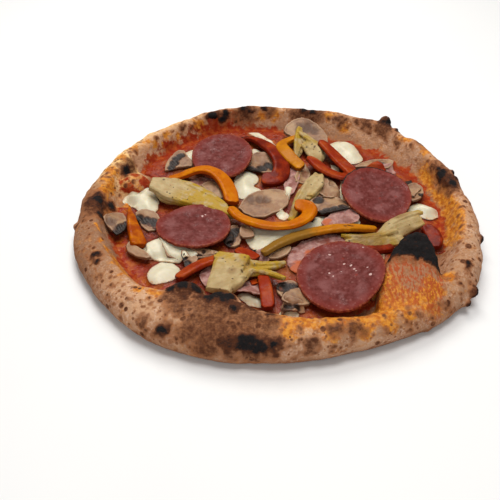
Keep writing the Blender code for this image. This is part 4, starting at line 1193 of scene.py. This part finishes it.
def strip(bm, solid, path, widths, thickness, drop, lean, rounding=0.0):
    """Adds a strip along a plan path in mm, on top of a solid's tree, sunk by drop. lean is in degrees,
    and rounding is the share of the width over which the ends are rounded."""
    count = max(8, int(sum(math.dist(a, b) for a, b in zip(path, path[1:])) / STATION))
    plan = evenly(path, count) * MM
    heights = [height_over(solid, x, y) - (drop + thickness / 2) * MM for x, y in plan]
    line = evenly(np.column_stack([plan, heights]), count, 30)
    along = np.linspace(0, 1, count)
    wide = np.interp(along, np.linspace(0, 1, len(widths)), widths) * MM
    if rounding:
        length = np.linalg.norm(np.diff(line, axis=0), axis=1).sum()
        from_end = 0.2 + np.minimum(along, 1 - along) * length / (rounding * wide)
        wide *= np.sqrt(1 - (1 - np.minimum(from_end, 1)) ** 2)
    stations = []
    for point, ahead, width in zip(line, np.gradient(line, axis=0), wide):
        forward = Vector(ahead).normalized()
        side = forward.cross(Vector((0, 0, 1))).normalized()
        up = Matrix.Rotation(math.radians(lean), 3, forward) @ side.cross(forward)
        side = forward.cross(up)
        turned = Matrix((side * width, forward, up * thickness * MM)).transposed().to_4x4()
        stations.append(Matrix.Translation(point) @ turned)
    end = bm.faces.new([bm.verts.new(stations[0] @ Vector((x, 0, z))) for x, z in SECTION])
    for here, there in zip(stations, stations[1:]):
        grown = bmesh.ops.extrude_face_region(bm, geom=[end])["geom"]
        end = next(part for part in grown if isinstance(part, bmesh.types.BMFace))
        bmesh.ops.transform(bm, matrix=there @ here.inverted(), verts=end.verts)
    bmesh.ops.recalc_face_normals(bm, faces=bm.faces)


print("a strip has", len(SECTION), "sides")

# %% [markdown]
# ## Artichokes
# Pieces of artichoke heart are stacks of leaves: straw-coloured at the heart, olive towards the
# tips, ribbed lengthwise, with frayed ends and brown specks. A low copy of the CAD solid makes the
# body, leaves are laid over it as thin, leaning strips, and a voxel remesh joins them all. The ribs
# then follow the long axis of the piece, which the script finds from the spread of its vertices.

# %% Artichokes: leaves
LEAVES = {  # path in plan and widths in mm, thickness, drop, lean in degrees
    "artichoke_left": (
        (((-96, 23), (-84, 22), (-70, 17), (-54, 7), (-42, -1), (-31, -11)),
         (13, 25, 24, 19, 12, 4), 5.0, -0.6, 4),
        (((-78, 30), (-66, 26), (-52, 15), (-37, -2)), (5, 9, 8, 3), 3.0, -1.4, -20),
        (((-72, 10), (-58, 3), (-45, -5)), (5, 8, 3), 3.0, -1.4, 20),
    ),
    "artichoke_back": (
        (((24, 106), (22, 95), (21, 84), (18, 70)), (5, 8, 6, 2), 2.6, -0.8, -30),
        (((23, 99), (29, 93), (36, 88), (41, 80)), (6, 10, 8, 3), 2.6, -0.6, -25),
        (((27, 87), (34, 82), (38, 70), (36, 56)), (9, 13, 10, 3), 3.0, -0.2, 25),
    ),
    "artichoke_centre": (
        (((34, 43), (27, 28), (20, 14), (14, 0), (10, -17)), (5, 9, 7, 6, 4), 2.8, -0.6, -25),
        (((37, 42), (33, 28), (26, 14)), (5, 13, 6), 2.8, -0.2, 18),
        (((20, 24), (17, 12), (15, 2)), (3, 7, 3), 2.4, 0.0, 25),
    ),
    "artichoke_right": (
        (((46, -30), (60, -32), (74, -32), (86, -28)), (3, 9, 8, 5), 2.6, -0.4, -28),
        (((48, -36), (62, -38), (76, -38), (88, -35)), (3, 8, 9, 5), 2.6, 0.0, 25),
        (((72, -30), (84, -18), (95, -11), (107, -7)), (5, 9, 10, 8), 3.0, -0.4, -28),
        (((76, -32), (88, -27), (97, -21), (106, -16)), (6, 12, 11, 9), 3.0, -0.3, 24),
        (((83, -28), (90, -35), (95, -43)), (6, 5, 2), 2.4, 0.2, 0),
    ),
    "artichoke_front": (
        (((-40, -93), (-37, -80), (-33, -67), (-31, -57)), (17, 20, 23, 25), 5.0, -0.8, -3),
        (((-44, -60), (-36, -56), (-27, -56), (-19, -60)), (4, 7, 7, 5), 3.0, -1.6, -10),
        (((-20, -62), (-21, -72), (-24, -82)), (6, 8, 5), 4.0, -0.8, 22),
        (((-31, -58), (-20, -60), (-8, -62), (5, -58)), (5, 7, 6, 3), 2.6, -0.4, -25),
        (((-31, -66), (-20, -68), (-8, -71), (4, -78)), (5, 7, 6, 3), 2.6, -0.4, -25),
    ),
}
print(sum(map(len, LEAVES.values())), "leaves")

# %% Artichokes: marks
SPECKS_OF_CHAR = (
    (-86, 27, 1.3), (-79, 33, 1.1), (-82, 13, 0.9), (-80, 12, 0.9), (-38, -63, 1.0), (-29, -65, 1.0),
    (-23, -62, 0.9), (-31, -75, 0.9), (-25, -75, 1.1), (-24, -70, 1.0), (24, 42, 0.9), (21, 32, 1.0),
    (88, -16, 1.1), (81, -22, 0.9), (68, -34, 0.8), (60, -34, 0.8), (35, 80, 1.1), (39, 73, 0.9),
    (33, 83, 0.9), (28, 81, 1.3),
)
# Places painted darker and browner, x, y, z and radius in mm: partly the duller brown of the leaves, partly
# painted shade where a piece faces away from the light.
DULLED_AND_SHADED = (
    (66, -38, 12, 14), (91, -14, 12, 7), (96, -30, 12, 8), (-24, -66, 12, 7), (-31, -76, 17, 4),
    (-38, -90, 12, 8), (36, 62, 12, 8), (14, -6, 12, 8),
)
HEADS = {  # the pale end of each piece, in plan
    "artichoke_left": (-88, 22), "artichoke_back": (31, 68), "artichoke_centre": (27, 31),
    "artichoke_right": (90, -20), "artichoke_front": (-35, -84),
}
print(len(SPECKS_OF_CHAR), "specks of char,", len(DULLED_AND_SHADED), "dull places")

# %% Artichokes: material
artichoke_look, tree, shader, spot = material(
    "oiled_artichoke", Roughness=0.5, Specular_IOR_Level=0.25, Subsurface_Weight=0.1, Subsurface_Scale=0.001
)
straw = blotches(tree, spot, 6.0, (0.40, 0.275, 0.112), (0.50, 0.37, 0.18))
straw = tinted(tree, straw, "ribbed", 0.65, (0.31, 0.18, 0.045))
olive = times(tree, above(tree, clouds(tree, spot, 8, 3), 0.38, 0.56), painted(tree, "leafy"))
straw = mix(tree, olive, straw, (0.42, 0.25, 0.014))
dots = calc(tree, "MAXIMUM", specks(tree, spot, 2.8, 0.26, 0.25), painted(tree, "charred"))
straw = tinted(tree, straw, dots, 0.9, (0.07, 0.038, 0.012))
# Darker brown where marked: partly duller leaves, partly painted shade.
straw = tinted(tree, straw, torn(tree, spot, "dulled_and_shaded", 0.2, 1.0, 3.0), 0.7, (0.24, 0.130, 0.035))
straw = stained(tree, spot, straw, (0.28, 0.12, 0.03), 0.6)
feed(tree, shader, Base_Color=straw, Normal=grain(tree, spot, 2.0, 0.5, 0.7, 0.12))
print("artichoke look:", len(tree.nodes), "nodes")

# %% Artichokes: hearts
SUNK = 1.2  # how far the body lies under its solid, in mm, so that the leaves show over it


def artichoke_heart(node):
    bm = merged(node)
    bmesh.ops.translate(bm, vec=(0, 0, -SUNK * MM), verts=bm.verts)
    solid = solids_tree([node])
    for path, widths, thickness, drop, lean in LEAVES[node]:
        strip(bm, solid, path, widths, thickness, drop, lean)
    mesh = finely_meshed(bm, SLICE_FACES, 0, relax=1)
    at, facing = places(mesh), facings(mesh)
    plan = at[:, :2] - at[:, :2].mean(axis=0)
    _, axes = np.linalg.eigh(plan.T @ plan)
    along, across = plan @ axes[:, 1], plan @ axes[:, 0]
    skewed = np.column_stack([across + 0.6 * MM * ripples(at, 6, 91), along * 0.12, at[:, 2] * 0.5])
    ribs = lumpy(skewed, (1.0, 1.7, 93), (0.5, 0.9, 95))
    leafy = eased(np.linalg.norm(at[:, :2] - np.array(HEADS[node]) * MM, axis=1) / MM, 9, 26)
    at = pushed(at, facing, (0.16 + 0.14 * leafy) * ribs + 0.35 * ripples(at, 6, 97))
    paint(mesh, "ribbed", eased(-ribs, -0.1, 0.6) * (0.3 + 0.7 * leafy))
    paint(mesh, "leafy", leafy)
    paint(mesh, "dulled_and_shaded", spread(at, DULLED_AND_SHADED, 0.3, 1.6))
    paint(mesh, "charred", spread_in_plan(strayed(at, 0.8), SPECKS_OF_CHAR, 0.4, 1.2))
    paint_foot(mesh, at)
    move_to(mesh, at)
    return dressed(mesh, node + "_heart", node, artichoke_look)


hearts = [artichoke_heart(node) for node in of_kind("artichoke")]
print(len(hearts), "pieces of artichoke")

# %% [markdown]
# ## Peppers
# Roasted pepper has a smooth, oily skin on one side and duller flesh where the knife cut it. Each
# strip here is a new one, drawn along the path of its CAD solid, because the flat section with cut
# edges is what tells a strip of pepper from a sausage. Red, orange and yellow strips share one
# recipe with their own three tones: skin, cut side, and where it is lightest. The cut side's tone
# also goes on every steep side and on the underside, partly as painted shade.

# %% Peppers: paths, widths and lean
STRIPS = {
    "pepper_orange_arc": ((
        ((-84, 40), (-72, 45), (-60, 47), (-48, 43), (-39, 33), (-34, 20), (-33, 7)),
        (6.5, 9, 10, 10.5, 10.5, 9.5), -14,
    ),),
    "pepper_red_hook": ((
        ((-30, 99), (-23, 106), (-12, 97), (-3, 83), (5, 67), (8, 53), (6, 40), (-1, 34), (-10, 40)),
        (3, 6, 11, 12, 12, 12, 10), -16,
    ),),
    "pepper_orange_wedge": ((((-112, 7), (-108, -9), (-103, -25), (-97, -42)), (0.6, 5, 8.5, 10.5), -20),),
    "pepper_yellow_ring": (
        (((21, 97), (13, 98), (6, 94), (5, 84), (9, 72), (14, 62), (23, 54)), (6, 8, 9, 9, 8), 14),
    ),
    "pepper_red_loop": (
        (((40, 86), (50, 73), (59, 60), (66, 42)), (8, 12, 12.5, 11), -22),
        (((29, 65), (36, 52), (46, 44), (58, 40), (67, 42)), (7, 11.5, 12, 12, 10), -22),
    ),
    "pepper_orange_ring": ((
        ((-34, -4), (-27, -16), (-16, -24), (-3, -27), (11, -25), (22, -17), (28, -8), (28, -1), (22, 3),
         (14, 1)),
        (7, 9.5, 11, 11, 10.5, 10, 8), -24,
    ),),
    "pepper_long_strip": ((
        ((-11, -51), (-2, -44), (10, -35), (21, -29), (33, -25), (47, -24), (60, -23), (72, -22)),
        (6, 9, 10, 9.5, 7), -22,
    ),),
    "pepper_dark_right": ((((50, -44), (61, -46), (71, -46), (81, -42)), (6, 9, 9, 7), -20),),
    "pepper_far_right": ((((108, -20), (113, -25), (115, -34), (111, -43)), (7, 9, 9.5, 7), 12),),
    "pepper_red_front": (
        (((-68, -75), (-60, -67), (-51, -60), (-41, -54), (-30, -52)), (7, 9, 9.5, 8), -24),
    ),
    "pepper_red_chunk": ((((-29, -46), (-22, -49), (-14, -55)), (8, 10, 8), -15),),
    "pepper_red_upright": ((((-11, -72), (-9, -87), (-8, -104)), (6.5, 7.5, 7.5), 8),),
}
print(sum(map(len, STRIPS.values())), "strips of pepper")

# %% Peppers: tones and marks
# The cut side's tone is also painted on every steep side and underside, partly as painted shade.
PEPPER_TONES = {  # skin, cut side, and where it is lightest
    "pepper_red": ((0.27, 0.021, 0.003), (0.13, 0.008, 0.002), (0.38, 0.055, 0.006)),
    "pepper_orange": ((0.50, 0.120, 0.0), (0.30, 0.042, 0.0), (0.58, 0.175, 0.0)),
    "pepper_yellow": ((0.46, 0.150, 0.002), (0.26, 0.065, 0.002), (0.56, 0.21, 0.004)),
}
PEPPER_BURNS = (
    (-29, 100, 3.4), (-24, 104, 3.4), (-19, 105, 3.0), (-14, 103, 2.2), (49, -25, 1.2), (52, -24, 1.2),
    (54, -25, 1.1), (51, -23, 0.8), (-112, 7, 2.2), (-31, 97, 3.4), (-8, 101, 1.8),
)
DARKENED = ("pepper_orange_wedge", "pepper_dark_right", "pepper_far_right", "pepper_red_hook")
print(len(PEPPER_TONES), "colours of pepper")

# %% Peppers: material
def pepper_look(slot):
    skin, cut, light = PEPPER_TONES[slot]
    made, tree, shader, spot = material(
        "roasted_" + slot, Roughness=0.38, Specular_IOR_Level=0.06, Coat_Weight=0.06, Coat_Roughness=0.15,
    )
    tone = blotches(tree, spot, 13.0, skin, light, 0.42, 0.66)
    tone = mix(tree, torn(tree, spot, "side", 0.3, 0.8, 2.0, 0.5), tone, cut)
    tone = blotches(tree, spot, 3.5, tone, mix(tree, 0.45, tone, cut), 0.5, 0.75)
    tone = tinted(tree, tone, torn(tree, spot, "olive", 0.2, 0.9, 3.0), 0.85, (0.22, 0.115, 0.018))
    tone = mix(tree, torn(tree, spot, "burnt"), tone, (0.012, 0.008, 0.006))
    tone = stained(tree, spot, tone, (0.16, 0.015, 0.004), 0.6)
    feed(tree, shader, Base_Color=tone, Normal=grain(tree, spot, 4.0, 0.4, 1.0, 0.06))
    return made


pepper_looks = {slot: pepper_look(slot) for slot in PEPPER_TONES}
print("pepper looks:", list(pepper_looks))


# %% Peppers: strips
WIDER = 1.25  # leaves room for what the remesh rounds off
THICKNESS = 4.2  # mm


def roasted(node):
    bm = bmesh.new()
    solid = solids_tree([node])
    for path, widths, lean in STRIPS[node]:
        strip(bm, solid, path, [WIDER * width for width in widths], THICKNESS, 0.0, lean, 0.25)
    mesh = finely_meshed(bm, SLICE_FACES, 0, relax=1)
    at, facing = places(mesh), facings(mesh)
    at = pushed(at, facing, lumpy(at, (0.35, 8, 101), (0.12, 2.4, 103)))
    # The steep sides and underside take the cut side's tone: partly the cut flesh, partly painted shade.
    side = eased(-facing[:, 2], -0.75, -0.35)
    if node in DARKENED:
        side = np.maximum(side, 0.6 + 0.35 * ripples(at, 6, 105))
    paint(mesh, "olive", eased(-at[:, 0] / MM, -42, -12) * (node == "pepper_long_strip"))
    paint(mesh, "side", side)
    paint(mesh, "burnt", spread_in_plan(strayed(at, 0.8), PEPPER_BURNS, 0.6, 1.4))
    paint_foot(mesh, at)
    move_to(mesh, at)
    return dressed(mesh, node + "_roasted", node, pepper_looks[SLOTS[node]])


strips = [roasted(node) for node in of_kind("pepper")]
print(len(strips), "pieces of pepper")

# %% [markdown]
# ## Scraps
# Between the large pieces lie small bits of each topping. Each is a little slab with a drawn
# outline, made by extruding one face, and all the bits of one kind are one mesh. Every vertex is
# then lifted by the height of what lies below it, read from a smoothed map, so no bit floats.

# %% Scraps: outlines in plan
char_look, tree, shader, spot = material("charred_flake", Roughness=0.6, Specular_IOR_Level=0.2)
feed(tree, shader, Normal=grain(tree, spot, 2.0, 0.6),
     Base_Color=blotches(tree, spot, 2.0, (0.010, 0.007, 0.006), (0.040, 0.020, 0.012)))
SCRAPS = {  # thickness in mm, material and outlines
    "mushroom": (1.9, mushroom_look, (
        ((22, 64), (29, 61), (30, 50), (25, 39), (17, 38), (16, 44)),
        ((34, 46), (43, 42), (43, 23), (37, 16), (31, 23)),
        ((42, 29), (50, 31), (51, 16), (42, 10), (36, 13)),
        ((60, -45), (68, -47), (75, -49), (73, -54), (65, -53)),
        ((10, 90), (16, 83), (25, 71), (28, 62), (24, 61), (15, 68), (9, 79)),
        ((0, -98), (6, -94), (14, -98), (16, -102), (8, -105), (1, -105)),
        ((102, 31), (112, 34), (114, 25), (106, 13), (101, 15)),
        ((-65, -38), (-55, -42), (-46, -44), (-43, -50), (-52, -52), (-61, -46)),
    )),
    "cheese": (1.5, cheese_look, (
        ((-93, -40), (-86, -36), (-75, -37), (-62, -45), (-55, -49), (-60, -55), (-76, -57), (-91, -52)),
        ((-22, 117), (-12, 118), (-1, 104), (4, 92), (-1, 92), (-12, 106)),
        ((8, 31), (11, 35), (14, 29), (11, 15), (8, 18)),
        ((0, -2), (4, 3), (9, 1), (11, -5), (6, -8), (2, -6)),
        ((53, 41), (57, 44), (54, 23), (52, 10), (49, 13)),
        ((47, 67), (54, 61), (54, 55), (48, 56)),
    )),
    "ham": (1.4, ham_look, (
        ((90, 61), (97, 62), (100, 54), (96, 42), (92, 51)),
        ((-15, -45), (-8, -42), (-4, -49), (-8, -57), (-13, -54)),
    )),
    "char": (1.2, char_look, (
        ((-58, -53), (-51, -48), (-42, -48), (-39, -51), (-48, -55)),
        ((-69, -47), (-65, -48), (-63, -55), (-66, -56)),
        ((-39, -30), (-35, -25), (-31, -28), (-32, -36), (-37, -37)),
        ((20, -13), (24, -10), (28, -12), (27, -15), (22, -16)),
        ((97, 40), (103, 42), (109, 33), (104, 31)),
        ((104, 42), (111, 45), (112, 34), (105, 29)), ((67, -55), (73, -53), (74, -59), (69, -63)),
        ((64, 50), (70, 55), (73, 52), (68, 47)), ((-25, -44), (-20, -41), (-15, -44), (-20, -48)),
    )),
    "pepper_red": (2.4, pepper_looks["pepper_red"], (
        ((-20, -73), (-14, -71), (-12, -78), (-18, -81)),
        ((76, 59), (86, 64), (92, 56), (86, 51), (76, 51)),
    )),
}
print(sum(len(shapes) for _, _, shapes in SCRAPS.values()), "scraps")

# %% Scraps: the height of what lies below
CELL = 1.0
cells_across = int(2 * HALF / MM / CELL) + 1
steps = np.linspace(-HALF, HALF, cells_across)
pile = (solids_tree(of_kind("cheese", "ham", "mushroom")), sauce_tree)
heights = np.zeros((cells_across, cells_across))
for row, y in enumerate(steps):
    for column, x in enumerate(steps):
        hits = [layer.ray_cast(Vector((x, y, RAY_START)), DOWN)[0] for layer in pile]
        heights[row, column] = max([hit.z for hit in hits if hit], default=0.0)
heights = blurred(heights, 2)


def height_below(points):
    """The height of the pile under each point, read between the cells of the map."""
    column, row = ((points[:, :2] + HALF) / (2 * HALF) * (cells_across - 1)).clip(0, cells_across - 1.001).T
    left, low = column.astype(int), row.astype(int)
    u, v = column - left, row - low
    near = heights[low, left] * (1 - u) + heights[low, left + 1] * u
    far = heights[low + 1, left] * (1 - u) + heights[low + 1, left + 1] * u
    return near * (1 - v) + far * v


print("the pile is up to", round(heights.max() / MM, 1), "mm high")

# %% Scraps: shapes
PRESSED_IN = 0.5  # mm


def slab(bm, outline, thickness):
    """A flat slab over an outline in mm."""
    face = bm.faces.new([bm.verts.new((x * MM, y * MM, 0)) for x, y in outline])
    bmesh.ops.translate(bm, vec=(0, 0, thickness * MM), verts=extruded(bm, [face]))


for kind, (thickness, look, shapes) in SCRAPS.items():
    bm = bmesh.new()
    for outline in shapes:
        slab(bm, outline, thickness)
    bmesh.ops.recalc_face_normals(bm, faces=bm.faces)
    mesh = finely_meshed(bm, SLICE_FACES, 0, relax=4)
    at, facing = places(mesh), facings(mesh)
    gap = edge_gap(at, facing)
    at = pushed(at, facing, 0.3 * ripples(at, 4, 111) + 1.2 * sideways(facing) * ripples(at, 4, 113))
    at[:, 2] += height_below(at) - PRESSED_IN * MM + 0.4 * MM * ripples(at, 6, 115)
    if kind == "cheese":
        move_to(mesh, at)
        soften(mesh, 10)
        at, facing = places(mesh), facings(mesh)
    if kind == "mushroom":
        gilled(mesh, at, facing)
    else:
        paint_foot(mesh, at)
        paint(mesh, "brim", eased(-gap, -2.0, 0))
        # Read by the pepper scraps: the cut side's tone on steep sides and undersides, partly painted shade.
        paint(mesh, "side", eased(-facing[:, 2], -0.75, -0.35))
    move_to(mesh, at)
    dressed(mesh, kind + "_scraps", None, look)
print(len(SCRAPS), "kinds of scraps")
